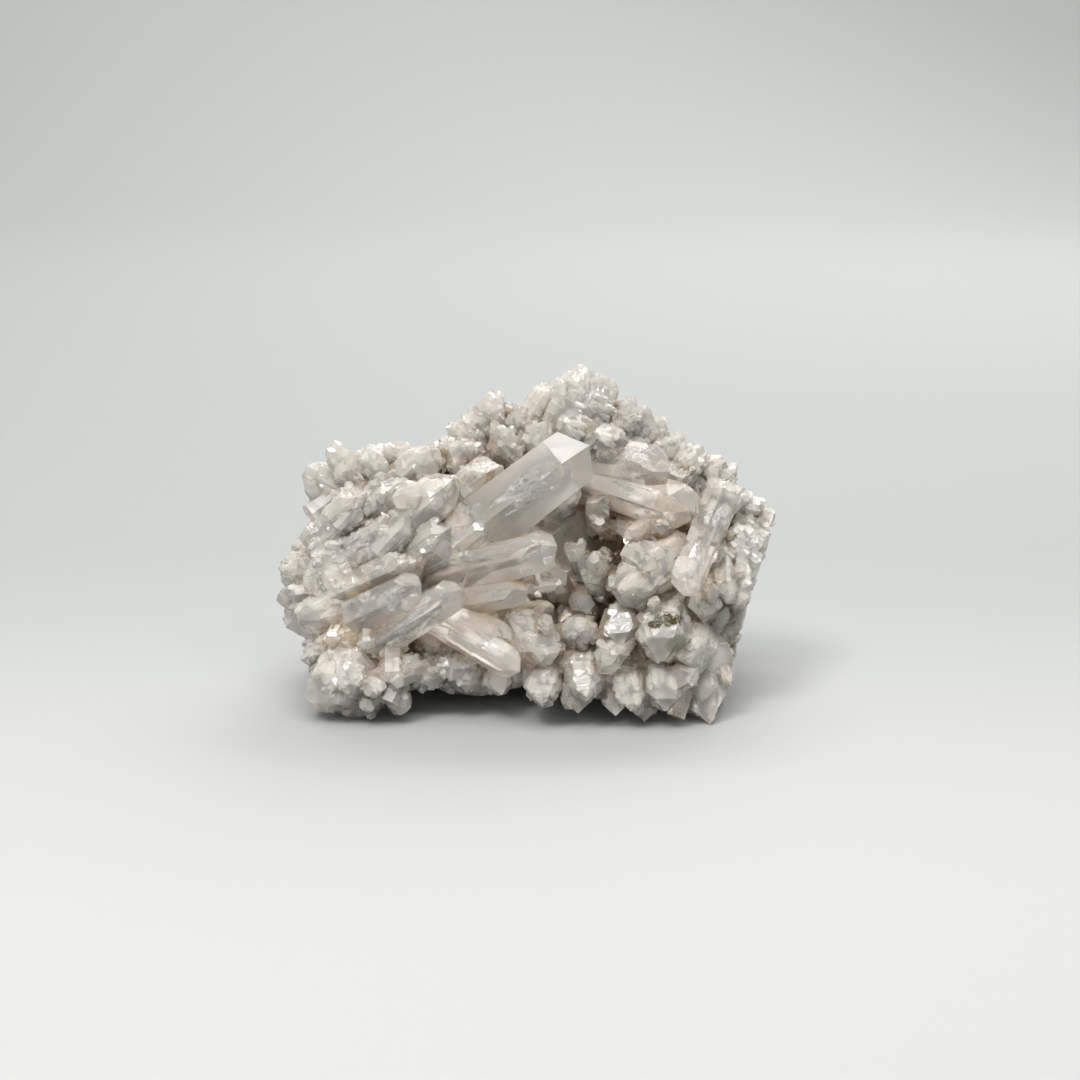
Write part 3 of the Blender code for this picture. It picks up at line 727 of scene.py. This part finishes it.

# The looks of the quartz. "clear" is the share of the light that goes in, and "shadow" the share that
# it lets through in place of a shadow. "light" and "dark" are the colours where it is clear and
# cloudy, and "recess" is painted shade: the colour that stands in for the shade where it is closed in.
# "clouds" are the scales of the clouds and the specks, "rough" the roughness where it is clear and
# where it is cloudy. "lines" and "etching" are the strengths of the growth lines and the etching, with
# its scale, and "relief" the height of both. "absorbs" is the colour and density of what the quartz
# takes out of the light. Scales are in cycles per metre.
LOOKS = {
    "clear": {
        "clear": 0.8,
        "shadow": 0.85,
        "stained": False,
        "light": (1.0, 0.97, 0.925),
        "dark": (0.98, 0.935, 0.875),
        "recess": (0.84, 0.75, 0.63),
        "clouds": (110, 900),
        "rough": (0.02, 0.2),
        "lines": 0.5,
        "etching": (0.35, 700),
        "relief": 0.12,
        "absorbs": ((0.90, 0.84, 0.70), 8),
    },
    "frosted": {
        "clear": 0.75,
        "shadow": 0.9,
        "stained": False,
        "light": (1.0, 0.975, 0.935),
        "dark": (0.985, 0.945, 0.89),
        "recess": (0.80, 0.70, 0.57),
        "clouds": (220, 1100),
        "rough": (0.02, 0.16),
        "lines": 0.6,
        "etching": (0.4, 800),
        "relief": 0.2,
        "absorbs": ((0.90, 0.84, 0.70), 8),
    },
    "milky": {
        "clear": 0.72,
        "shadow": 0.7,
        "stained": True,
        "light": (1.0, 0.97, 0.912),
        "dark": (0.965, 0.915, 0.83),
        "recess": (0.64, 0.52, 0.38),
        "clouds": (140, 1300),
        "rough": (0.03, 0.28),
        "lines": 0.4,
        "etching": (0.6, 1000),
        "relief": 0.2,
        "absorbs": ((0.89, 0.84, 0.71), 12),
    },
    "crust": {
        "clear": 0.7,
        "shadow": 0.7,
        "stained": False,
        "light": (1.0, 0.975, 0.924),
        "dark": (0.975, 0.93, 0.855),
        "recess": (0.64, 0.52, 0.38),
        "clouds": (200, 1500),
        "rough": (0.02, 0.16),
        "lines": 0.0,
        "etching": (0.4, 1500),
        "relief": 0.0,
        "absorbs": None,
    },
    "core": {
        "clear": 0.0,
        "shadow": 0.0,
        "stained": False,
        "light": (0.99, 0.96, 0.91),
        "dark": (0.93, 0.875, 0.79),
        "recess": (0.93, 0.875, 0.79),
        "clouds": (130, 900),
        "rough": (0.4, 0.7),
        "lines": 0.0,
        "etching": (1.0, 400),
        "relief": 0.0,
        "absorbs": None,
    },
    "broken": {
        "clear": 0.35,
        "shadow": 0.5,
        "stained": True,
        "light": (0.93, 0.93, 0.88),
        "dark": (0.74, 0.74, 0.66),
        "recess": (0.55, 0.50, 0.40),
        "clouds": (150, 800),
        "rough": (0.08, 0.4),
        "lines": 0.0,
        "etching": (1.0, 500),
        "relief": 0.4,
        "absorbs": ((0.80, 0.84, 0.74), 30),
    },
}
LOOKS["stained_crust"] = {**LOOKS["crust"], "stained": True}
BODY_LOOKS = ("clear", "milky", "broken", "frosted")
QUARTZ_IOR = 1.544

# The looks of the veils and the cracks: how metallic, their colour, and how much they cover.
THIN_LOOKS = {"veil": (0.0, (0.96, 0.94, 0.90), 0.36), "crack": (1.0, (0.95, 0.95, 0.95), 0.9)}


def new_material(name):
    """A new material, with its node tree and its shader."""
    material = bpy.data.materials.new(name)
    material.use_nodes = True
    return material, material.node_tree, material.node_tree.nodes["Principled BSDF"]


def tinted(colour):
    """A colour of the quartz under the tint that the user sets, as a colour socket takes it."""
    tint = bpy.context.scene.quartz_crystals.tint
    return *(part * share for part, share in zip(colour, tint)), 1


def quartz_material(kind):
    """The quartz of one of the looks, built the first time that it is asked for."""
    name = f"{kind}_quartz"
    if name in bpy.data.materials:
        return bpy.data.materials[name]
    look = LOOKS[kind]
    material, tree, shader = new_material(name)
    shader.inputs["Metallic"].default_value = 0.0
    shader.inputs["IOR"].default_value = QUARTZ_IOR
    shader.inputs["Transmission Weight"].default_value = look["clear"]
    values = {
        "Clear Colour": tinted(look["light"]),
        "Cloudy Colour": tinted(look["dark"]),
        "Cloud Scale": look["clouds"][0],
        "Speck Scale": look["clouds"][1],
    }
    clouds = placed_group(tree, "quartz clouds", cloud_group, values)
    # Painted shade: the colour turns a warm brown where a place is closed in, standing in for shade.
    recess = placed_group(tree, "recess tint", painted_shade_group, {"Recess Colour": tinted(look["recess"])})
    tree.links.new(clouds.outputs["Colour"], recess.inputs["Colour"])
    tree.links.new(clouds.outputs["Mask"], recess.inputs["Unevenness"])
    colour = recess.outputs["Colour"]
    if look["stained"]:
        colour = stained_colour(tree, colour, clouds.outputs["Mask"])
    tree.links.new(colour, shader.inputs["Base Color"])
    if look["shadow"]:
        path = tree.nodes.new("ShaderNodeLightPath")
        alpha = maths_node(tree, "MULTIPLY_ADD", path.outputs["Is Shadow Ray"], -look["shadow"], 1.0)
        tree.links.new(alpha, shader.inputs["Alpha"])
    gloss = spread_node(tree, clouds.outputs["Mask"], 0, 1, *look["rough"])
    tree.links.new(gloss, shader.inputs["Roughness"])
    if look["relief"]:
        add_relief(tree, shader, look)
    if look["absorbs"]:
        colour, density = look["absorbs"]
        inside = tree.nodes.new("ShaderNodeVolumeAbsorption")
        inside.inputs["Color"].default_value = (*colour, 1)
        inside.inputs["Density"].default_value = density
        tree.links.new(inside.outputs["Volume"], tree.nodes["Material Output"].inputs["Volume"])
    return material


def stained_colour(tree, colour, unevenness):
    """Lays each stain on a colour, and gives the colour that results."""
    for stain_colour, place, reach, ragged in STAINS:
        values = {
            "Stain Colour": (*stain_colour, 1),
            "Place": Vector(place) * MM,
            "Reach": Vector(reach) * MM,
            "Raggedness": ragged,
        }
        stain = placed_group(tree, "mineral stain", stain_group, values)
        tree.links.new(colour, stain.inputs["Colour"])
        tree.links.new(unevenness, stain.inputs["Unevenness"])
        colour = stain.outputs["Colour"]
    return colour


def add_relief(tree, shader, look):
    """Puts the low relief of the faces on a material."""
    values = {
        "Lines": look["lines"],
        "Etching": look["etching"][0],
        "Etching Scale": look["etching"][1],
    }
    relief = placed_group(tree, "growth relief", relief_group, values)
    bump = tree.nodes.new("ShaderNodeBump")
    bump.inputs["Distance"].default_value = look["relief"] * MM
    tree.links.new(relief.outputs["Height"], bump.inputs["Height"])
    tree.links.new(bump.outputs["Normal"], shader.inputs["Normal"])


def thin_material(kind):
    """Veils or cracks in the quartz, which let light by where they are thin."""
    metallic, colour, cover = THIN_LOOKS[kind]
    material, tree, shader = new_material(f"{kind}_quartz")
    shader.inputs["Metallic"].default_value = metallic
    gloss = spread_node(tree, noise_node(tree, 600, 3), 0.3, 0.7, 0.12, 0.5)
    tree.links.new(gloss, shader.inputs["Roughness"])
    values = {
        "Clear Colour": (1, 1, 1, 1),
        "Cloudy Colour": (*colour, 1),
        "Cloud Scale": 300,
        "Speck Scale": 2000,
    }
    clouds = placed_group(tree, "quartz clouds", cloud_group, values)
    tree.links.new(clouds.outputs["Colour"], shader.inputs["Base Color"])
    thin = spread_node(tree, noise_node(tree, 700, 6, 0.7, 1.5), 0.42, 0.66, 0.0, cover)
    tree.links.new(thin, shader.inputs["Alpha"])
    return material


class QUARTZ_PG_crystals(bpy.types.PropertyGroup):
    """Colour, sizes and numbers of the crystals."""

    tint: FloatVectorProperty(
        name="Tint",
        description="Colour over all of the quartz, white for none",
        default=(1.0, 1.0, 1.0),
        subtype="COLOR",
        min=0,
        max=1,
    )
    crust_density: FloatProperty(
        name="Crust density",
        description="How many small crystals grow on each patch, as a share of the usual number",
        default=1.0,
        subtype="FACTOR",
        min=0,
        max=2,
    )
    needle_count: IntProperty(
        name="Needles",
        description="How many thin crystals lie along the left slope",
        default=55,
        min=0,
    )
    needle_width: FloatProperty(
        name="Needle width",
        description="Width of a usual thin crystal on the left slope",
        default=0.0020,
        unit="LENGTH",
    )
    veils_each: IntProperty(
        name="Veils in each point",
        description="How many thin veils a large point holds",
        default=9,
        min=0,
    )


class QUARTZ_PG_stage(bpy.types.PropertyGroup):
    """The floor, the lights and the camera."""

    floor_colour: FloatVectorProperty(
        name="Floor colour",
        description="Colour of the floor in front of the cluster",
        default=(0.495, 0.495, 0.49),
        subtype="COLOR",
        min=0,
        max=1,
    )
    # The darker colour behind the cluster is painted shade, standing in for light that falls off towards
    # the back.
    far_painted_shade_colour: FloatVectorProperty(
        name="Backdrop colour",
        description="Colour of the floor and the backdrop behind the cluster",
        default=(0.375, 0.385, 0.375),
        subtype="COLOR",
        min=0,
        max=1,
    )
    key_power: FloatProperty(
        name="Key light",
        description="Power of the soft light at the upper left",
        default=2.5,
        unit="POWER",
    )
    ceiling_power: FloatProperty(
        name="Ceiling light",
        description="Power of the broad light overhead",
        default=4.2,
        unit="POWER",
    )
    back_panel_power: FloatProperty(
        name="Back panel",
        description="Power of the panel behind, which the upward faces mirror",
        default=4.6,
        unit="POWER",
    )
    glint_power: FloatProperty(
        name="Glint",
        description="Power of the small lamp at the right, for glints on the faces",
        default=0.25,
        unit="POWER",
    )
    wall_wash_power: FloatProperty(
        name="Wall light",
        description="Power of the lamp that lights the backdrop",
        default=13.0,
        unit="POWER",
    )
    room_light: FloatProperty(
        name="Room light",
        description="Strength of the even light from all around",
        default=0.39,
        min=0,
    )
    camera_distance: FloatProperty(
        name="Camera distance",
        description="From the camera to the middle of the cluster",
        default=0.45,
        unit="LENGTH",
    )
    camera_elevation: FloatProperty(
        name="Camera elevation",
        description="How far the camera looks down",
        default=math.radians(16),
        subtype="ANGLE",
    )


class QUARTZ_OT_body(bpy.types.Operator):
    """Dress the cluster's solid in clear, milky and broken quartz"""

    bl_idname = "quartz.body"
    bl_label = "Cluster body"

    def execute(self, context):
        bm = solid_copy()
        self.mark_faces(bm)
        self.roughen_breaks(bm)
        bmesh.ops.triangulate(bm, faces=bm.faces[:])
        bmesh.ops.scale(bm, vec=(MM, MM, MM), verts=bm.verts)
        mesh = bpy.data.meshes.new("cluster_body")
        bm.to_mesh(mesh)
        bm.free()
        body = new_piece("cluster_body", mesh, [quartz_material(kind) for kind in BODY_LOOKS])
        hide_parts(NODE)
        return {"FINISHED"}

    def mark_faces(self, bm):
        """Gives each face its look, and its corners how closed in they are and how far up their point."""
        growth = bm.loops.layers.float.new("growth")
        recess = bm.loops.layers.float.new("recess")
        for face in bm.faces:
            middle = face.calc_center_median()
            clear = nearest_point(middle, GROWN_CLEAR)
            if clear is not None:
                kind = "frosted" if clear in FROSTED_POINTS else "clear"
            else:
                kind = "broken" if SKIN.in_break(middle, face.normal) else "milky"
            face.material_index = BODY_LOOKS.index(kind)
            owner = nearest_point(middle, GROWN_ALL)
            for loop in face.loops:
                # How closed in the corner is, from which the material paints shade into the colour.
                loop[recess] = SKIN.recess(loop.vert.co.lerp(middle, 0.08), face.normal)
                if owner is not None:
                    foot, tip, _ = GROWN_ALL[owner]
                    risen = (loop.vert.co - foot).dot((tip - foot).normalized())
                    loop[growth] = risen + GROWTH_APART * owner

    def roughen_breaks(self, bm):
        """Cuts up the broken faces and gives them a low relief, which leaves their rim in place."""
        broken = BODY_LOOKS.index("broken")
        inner, fixed = [], set()
        for edge in bm.edges:
            if all(face.material_index == broken for face in edge.link_faces):
                inner.append(edge)
        for vert in bm.verts:
            if not all(face.material_index == broken for face in vert.link_faces):
                fixed.add(vert)
        bmesh.ops.subdivide_edges(bm, edges=inner, cuts=BREAK_CUTS, use_grid_fill=True)
        bm.normal_update()
        moved = []
        for vert in bm.verts:
            if vert in fixed or not all(face.material_index == broken for face in vert.link_faces):
                continue
            rise = noise.ridged_multi_fractal(vert.co * BREAK_GRAIN, 1.0, 2.2, 4, 1.0, 2.0) - BREAK_LEVEL
            moved.append((vert, vert.normal * rise * BREAK_RELIEF))
        for vert, step in moved:
            vert.co += step
            vert.co.z = max(vert.co.z, 0.0)


class QUARTZ_OT_core(bpy.types.Operator):
    """Put the milky mass inside the clear quartz"""

    bl_idname = "quartz.core"
    bl_label = "Milky core"

    def execute(self, context):
        bm = bmesh.new()
        for centre, half_sizes in CORE_LUMPS:
            place = Matrix.Translation(Vector(centre) + GROWN_SHIFT)
            size = Matrix.Diagonal([half - CORE_DEPTH for half in half_sizes] + [1])
            bmesh.ops.create_icosphere(bm, subdivisions=3, radius=1, matrix=place @ size)
        mesh = bpy.data.meshes.new("core_lumps")
        bm.to_mesh(mesh)
        bm.free()
        lumps = bpy.data.objects.new("core_lumps", mesh)
        context.scene.collection.objects.link(lumps)
        joined = lumps.modifiers.new("joined", "REMESH")
        joined.mode = "VOXEL"
        joined.voxel_size = CORE_GRAIN
        graph = context.evaluated_depsgraph_get()
        core = bpy.data.meshes.new_from_object(lumps.evaluated_get(graph))
        bpy.data.objects.remove(lumps)
        for vert in core.vertices:
            spot, normal, _, _ = SKIN.tree.find_nearest(vert.co)
            uneven = 1 + 0.8 * noise.noise(vert.co * 0.35)
            if SKIN.height(vert.co) > -CORE_DEPTH * uneven:
                vert.co = spot - normal * CORE_DEPTH * uneven
            vert.co *= MM
        for face in core.polygons:
            face.use_smooth = True
        core.materials.clear()
        new_piece("milky_core", core, [quartz_material("core")])
        return {"FINISHED"}


class QUARTZ_OT_veils(bpy.types.Operator):
    """Put veils and bright cracks inside the large points"""

    bl_idname = "quartz.veils"
    bl_label = "Veils and cracks"

    def execute(self, context):
        chance = random.Random(SEED + 1)
        veils, cracks = [], []
        for index, point in enumerate(GROWN_ALL):
            usual = CLEAR_VEILS if index < len(CLEAR_POINTS) else MILKY_VEILS
            share = VEIL_SHARES.get(index, usual)
            for _ in range(round(context.scene.quartz_crystals.veils_each * share)):
                spots, corners = self.veil_in(point, chance)
                if all(SKIN.height(spot) <= -VEIL_DEPTH for spot in spots):
                    (cracks if chance.random() < CRACK_SHARE else veils).append((spots, corners))
        joined_piece("veils", veils, thin_material("veil"))
        joined_piece("cracks", cracks, thin_material("crack"))
        return {"FINISHED"}

    def veil_in(self, point, chance):
        """A veil somewhere along the axis of a large point, nearly in line with it."""
        foot, tip, width = point
        along = (tip - foot).normalized()
        part = chance.uniform(0.15, 0.9) ** 1.2
        turn = chance.uniform(0, math.tau)
        shape, corners = veil_shape(chance)
        turned = way_frame(along + loose_way(chance, 0.18), turn)
        wide = width * chance.uniform(0.1, 0.36)
        high = min((tip - foot).length * 0.5, width * chance.uniform(0.5, 1.7))
        off = way_frame(along, turn) @ np.array((0, chance.uniform(-0.28, 0.28) * width, 0))
        return (shape * (wide, wide, high)) @ turned.T + np.array(foot.lerp(tip, part)) + off, corners


class Patch:
    """A part of the surface, given by an ellipsoid, from which places are drawn."""

    def __init__(self, centre, half_sizes, skip=(), reach=CLEAR_REACH):
        self.centre = Vector(centre)
        self.half_sizes = Vector(half_sizes)
        self.skip, self.reach = skip, reach
        self.triangles, self.weights = [], []
        for triangle in SKIN.triangles:
            *corners, normal, area = triangle
            if self.closeness(sum(corners, Vector()) / 3) > 0:
                self.triangles.append(triangle)
                self.weights.append(area)

    def closeness(self, spot):
        """How likely a place is kept. It falls from the middle of the patch to its edge."""
        away = Vector(a / b for a, b in zip(spot - self.centre, self.half_sizes))
        return 1.4 - away.length_squared

    def places(self, count, spacing, chance, on_break=False):
        """Draws up to that many places, more of them in hollows, and none too close to another. Each
        comes with its normal and its recess. They are either all on a broken face or all off it."""
        taken, found = set(), []
        draws = count * 5 + 300
        for a, b, c, normal, _ in chance.choices(self.triangles, self.weights, k=draws):
            spot = spot_between(a, b, c, chance)
            keep = chance.random() < self.closeness(spot)
            if not keep or SKIN.in_break(spot, normal) != on_break:
                continue
            if nearest_point(spot, self.skip, self.reach) is not None:
                continue
            closed = SKIN.recess(spot, normal)
            if chance.random() > OPEN_CHANCE + RECESS_CHANCE * closed:
                continue
            cell = tuple(round(value / spacing) for value in spot)
            if cell in taken:
                continue
            taken.add(cell)
            found.append((spot, normal, closed))
            if len(found) == count:
                break
        return found


class QUARTZ_OT_crust(bpy.types.Operator):
    """Grow the crust of small crystals on the cluster, patch by patch"""

    bl_idname = "quartz.crust"
    bl_label = "Crust of small crystals"

    def execute(self, context):
        chance = random.Random(SEED)
        density = context.scene.quartz_crystals.crust_density
        templates = [crystal_shape(CRUST_LENGTH, chance) for _ in range(14)]
        for name, (centre, half_sizes, count, width, stand, lean) in CRUST_PATCHES.items():
            patch = Patch(centre, half_sizes, GROWN_CLEAR, PATCH_REACH.get(name, CLEAR_REACH))
            families = self.families(patch, Vector(lean), chance)
            shapes, values = [], []
            for spot, normal, closed in patch.places(round(count * density), width * CRUST_SPACING, chance):
                way, turn = self.direction(spot, normal, families, chance)
                size = width * min(CRUST_LARGEST, chance.lognormvariate(0, 0.35))
                sunk = (CRUST_LENGTH - stand * chance.uniform(0.4, 1.3)) * size
                points, corners = chance.choice(templates)
                spots = placed_shape(points * size, way, turn, spot - way * sunk)
                if sits_well(spots, (1.3 * stand + 0.4) * size):
                    shapes.append((spots, corners))
                    values.append(closed)
            kind = "stained_crust" if name in STAINED_PATCHES else "crust"
            joined_piece(f"crust_{name}", shapes, quartz_material(kind), values)
        return {"FINISHED"}

    def families(self, patch, lean, chance):
        """A few places of a patch, each with the direction and turn that the crystals near it share."""
        found = []
        for spot, normal, _ in patch.places(CRUST_FAMILIES, 1.0, chance):
            way = (normal * 0.7 + lean + loose_way(chance, 0.5)).normalized()
            found.append((spot, way, chance.uniform(0, math.tau)))
        return found

    def direction(self, spot, normal, families, chance):
        """The direction and turn of one crystal: those of its family, but never flat on the surface."""
        _, way, turn = min(families, key=lambda family: (family[0] - spot).length)
        way = (way + normal * 0.3 + loose_way(chance, 0.09)).normalized()
        if way.dot(normal) < 0.5:
            way = (way + normal * 0.9).normalized()
        return way, turn + chance.uniform(-0.1, 0.1)


class QUARTZ_OT_needles(bpy.types.Operator):
    """Lay the thin crystals along the left slope"""

    bl_idname = "quartz.needles"
    bl_label = "Needles on the slope"

    def execute(self, context):
        chance = random.Random(SEED + 12)
        settings = context.scene.quartz_crystals
        templates = [crystal_shape(NEEDLE_LENGTH, chance) for _ in range(8)]
        patch = Patch(*SLOPE_NEEDLES, GROWN_CLEAR)
        shapes, values = [], []
        for spot, normal, closed in patch.places(settings.needle_count, NEEDLE_SPACING, chance):
            flat = (NEEDLE_WAY - normal * NEEDLE_WAY.dot(normal)).normalized()
            loose = loose_way(chance, 0.1)
            way = (flat + normal * chance.uniform(0.02, 0.2) + loose).normalized()
            size = settings.needle_width / MM * chance.lognormvariate(0, 0.3)
            points, corners = chance.choice(templates)
            root = spot - way * size * NEEDLE_LENGTH * 0.5 - normal * size * 0.38
            spots = placed_shape(points * size, way, chance.uniform(0, math.tau), root)
            if sits_well(spots, size * 0.9):
                shapes.append((spots, corners))
                values.append(closed)
        joined_piece("slope_needles", shapes, quartz_material("crust"), values)
        return {"FINISHED"}


class QUARTZ_OT_steps(bpy.types.Operator):
    """Grow low steps on the faces of the large points, in line with each point"""

    bl_idname = "quartz.steps"
    bl_label = "Growth steps"

    def execute(self, context):
        chance = random.Random(SEED + 3)
        templates = [crystal_shape(chance.choice(STEP_LENGTHS), chance) for _ in range(16)]
        shapes, values = {"milky": [], "clear": []}, {"milky": [], "clear": []}
        for a, b, c, normal, area in SKIN.triangles:
            owner = nearest_point((a + b + c) / 3, GROWN_ALL)
            if owner is None or SKIN.in_break((a + b + c) / 3, normal):
                continue
            foot, tip, width = GROWN_ALL[owner]
            along = (tip - foot).normalized()
            if not STEP_FACING[0] < normal.dot(along) < STEP_FACING[1]:
                continue
            kind = "clear" if owner < len(CLEAR_POINTS) else "milky"
            wanted = area / STEP_AREAS[kind]
            for _ in range(int(wanted) + (chance.random() < wanted % 1)):
                spot = spot_between(a, b, c, chance)
                risen = (spot - foot).dot(along) / (tip - foot).length
                if owner == MAIN_POINT and risen > SMOOTH_FROM:
                    continue
                points, corners = chance.choice(templates)
                size = min(chance.lognormvariate(0.75, 0.4), width * 0.5)
                spots = self.step(points * size, spot, normal, along, size, chance)
                if sits_well(spots, size * 0.35 + 0.2):
                    shapes[kind].append((spots, corners))
                    values[kind].append(SKIN.recess(spot, normal))
        for kind in ("milky", "clear"):
            joined_piece(f"{kind}_steps", shapes[kind], quartz_material(kind), values[kind])
        return {"FINISHED"}

    def step(self, points, spot, normal, along, size, chance):
        """Sets a small crystal into a face, in line with the large one, so that it stands out low."""
        facing = normal.dot(along)
        outward = (normal - along * facing).normalized()
        stand = size * chance.uniform(0.04, 0.16)
        length = points[:, 2].max()
        tilt = chance.uniform(0.02, 0.09)
        way = (along + outward * tilt + loose_way(chance, 0.03)).normalized()
        across = (outward - way * outward.dot(way)).normalized()
        turned = np.array((across, way.cross(across), way))
        if facing < TIP_FACING:
            root = spot - outward * (0.48 * size - stand) - way * length * 0.5
        else:
            uphill = (along - normal * facing).normalized()
            root = spot + normal * stand + uphill * size * 0.25 - way * length
        return points @ turned + np.array(root)


class QUARTZ_OT_chips(bpy.types.Operator):
    """Roughen the broken right end and back with chips"""

    bl_idname = "quartz.chips"
    bl_label = "Chips of the breaks"

    def execute(self, context):
        chance = random.Random(SEED + 4)
        templates = [chip_shape(chance) for _ in range(16)]
        shapes, values = [], []
        for centre, half_sizes, count, width in CHIPS:
            patch = Patch(centre, half_sizes)
            for spot, normal, closed in patch.places(count, width * 0.6, chance, on_break=True):
                if normal.z < -BREAK_FACING:
                    continue
                points, corners = chance.choice(templates)
                size = width * chance.lognormvariate(0, 0.35)
                stretch = (chance.uniform(0.7, 1.2), chance.uniform(0.7, 1.2), 0.7)
                way = (normal + loose_way(chance, 0.3)).normalized()
                turn = chance.uniform(0, math.tau)
                root = spot - normal * size * chance.uniform(0.08, 0.26)
                spots = placed_shape(points * stretch * size, way, turn, root)
                if sits_well(spots, size * 0.36):
                    shapes.append((spots, corners))
                    values.append(closed)
        joined_piece("chips", shapes, quartz_material("broken"), values)
        return {"FINISHED"}


def stage_material(colour, far_painted_shade_colour):
    """Pale paper for the floor and the backdrop, with painted shade that makes it darker behind the
    cluster, where the light falls off.
    """
    material, tree, shader = new_material("stage_paper")
    place = tree.nodes.new("ShaderNodeTexCoord")
    apart = tree.nodes.new("ShaderNodeSeparateXYZ")
    tree.links.new(place.outputs["Object"], apart.inputs["Vector"])
    depth = spread_node(tree, apart.outputs["Y"], *SHADE_DEPTHS)
    depth.node.interpolation_type = "SMOOTHSTEP"
    tree.links.new(mix_node(tree, depth, colour, far_painted_shade_colour), shader.inputs["Base Color"])
    shader.inputs["Roughness"].default_value = 0.9
    shader.inputs["Specular IOR Level"].default_value = 0.1
    return material


def backdrop(colour, far_painted_shade_colour):
    """A floor that curves up into a wall behind, in one sweep."""
    line = [(STAGE_FRONT, 0.0), (BEND_START, 0.0)]
    for step in range(1, BEND_STEPS + 1):
        angle = step / BEND_STEPS * math.pi / 2
        rise = BEND_RADIUS - BEND_RADIUS * math.cos(angle)
        line.append((BEND_START + BEND_RADIUS * math.sin(angle), rise))
    line.append((BEND_START + BEND_RADIUS, WALL_TOP))
    spots = [(x, y, z) for y, z in line for x in (-STAGE_HALF, STAGE_HALF)]
    faces = [(2 * i, 2 * i + 1, 2 * i + 3, 2 * i + 2) for i in range(len(line) - 1)]
    mesh = bpy.data.meshes.new("backdrop")
    mesh.from_pydata(spots, [], faces)
    for face in mesh.polygons:
        face.use_smooth = True
    mesh.materials.append(stage_material(colour, far_painted_shade_colour))
    sweep = bpy.data.objects.new("backdrop", mesh)
    bpy.context.scene.collection.objects.link(sweep)


def soft_light(name, power):
    """One of the rectangular lights, turned to where it looks."""
    spot, target, size = LIGHTS[name]
    data = bpy.data.lights.new(name, "AREA")
    data.shape = "RECTANGLE"
    data.size, data.size_y = size
    data.energy = power
    lamp = bpy.data.objects.new(name, data)
    lamp.location = spot
    lamp.rotation_euler = (Vector(target) - Vector(spot)).to_track_quat("-Z", "Y").to_euler()
    lamp.visible_camera = False
    bpy.context.scene.collection.objects.link(lamp)


class QUARTZ_OT_stage(bpy.types.Operator):
    """Set the floor, the soft lights and the camera"""

    bl_idname = "quartz.stage"
    bl_label = "Floor, lights and camera"

    def execute(self, context):
        settings = context.scene.quartz_stage
        backdrop(settings.floor_colour, settings.far_painted_shade_colour)
        for name in LIGHTS:
            soft_light(name, getattr(settings, f"{name}_power"))
        world = bpy.data.worlds.new("soft_room")
        world.use_nodes = True
        world.node_tree.nodes["Background"].inputs["Color"].default_value = ROOM_COLOUR
        world.node_tree.nodes["Background"].inputs["Strength"].default_value = settings.room_light
        context.scene.world = world
        camera = bpy.data.cameras.new("camera")
        camera.lens = CAMERA_LENS
        eye = bpy.data.objects.new("camera", camera)
        angle, reach = settings.camera_elevation, settings.camera_distance
        eye.location = MIDDLE + Vector((0, -math.cos(angle), math.sin(angle))) * reach
        eye.rotation_euler = (MIDDLE - eye.location).to_track_quat("-Z", "Y").to_euler()
        context.scene.collection.objects.link(eye)
        context.scene.camera = eye
        context.scene.view_settings.view_transform = "Standard"
        for name, count in BOUNCES.items():
            setattr(context.scene.cycles, name, count)
        return {"FINISHED"}


OPERATORS = (
    QUARTZ_OT_body,
    QUARTZ_OT_core,
    QUARTZ_OT_veils,
    QUARTZ_OT_crust,
    QUARTZ_OT_needles,
    QUARTZ_OT_steps,
    QUARTZ_OT_chips,
    QUARTZ_OT_stage,
)


class QUARTZ_PT_panel(bpy.types.Panel):
    """Lists the steps that dress the cluster, and the values that they use"""

    bl_idname = "QUARTZ_PT_panel"
    bl_label = "Quartz cluster"
    bl_space_type = "VIEW_3D"
    bl_region_type = "UI"
    bl_category = "Quartz"

    def draw(self, context):
        for operator in OPERATORS:
            self.layout.operator(operator.bl_idname)
        for settings in (context.scene.quartz_crystals, context.scene.quartz_stage):
            for name in type(settings).__annotations__:
                self.layout.prop(settings, name)


CLASSES = (QUARTZ_PG_crystals, QUARTZ_PG_stage, *OPERATORS, QUARTZ_PT_panel)


def register():
    """Makes the steps and their values known to the program."""
    for each in CLASSES:
        bpy.utils.register_class(each)
    bpy.types.Scene.quartz_crystals = PointerProperty(type=QUARTZ_PG_crystals)
    bpy.types.Scene.quartz_stage = PointerProperty(type=QUARTZ_PG_stage)


def unregister():
    """Takes the steps and their values away again."""
    del bpy.types.Scene.quartz_crystals
    del bpy.types.Scene.quartz_stage
    for each in reversed(CLASSES):
        bpy.utils.unregister_class(each)


def main():
    """Dresses the cluster step by step."""
    register()
    bpy.ops.quartz.body()
    bpy.ops.quartz.core()
    bpy.ops.quartz.veils()
    bpy.ops.quartz.crust()
    bpy.ops.quartz.needles()
    bpy.ops.quartz.steps()
    bpy.ops.quartz.chips()
    bpy.ops.quartz.stage()


if __name__ == "__main__":
    main()
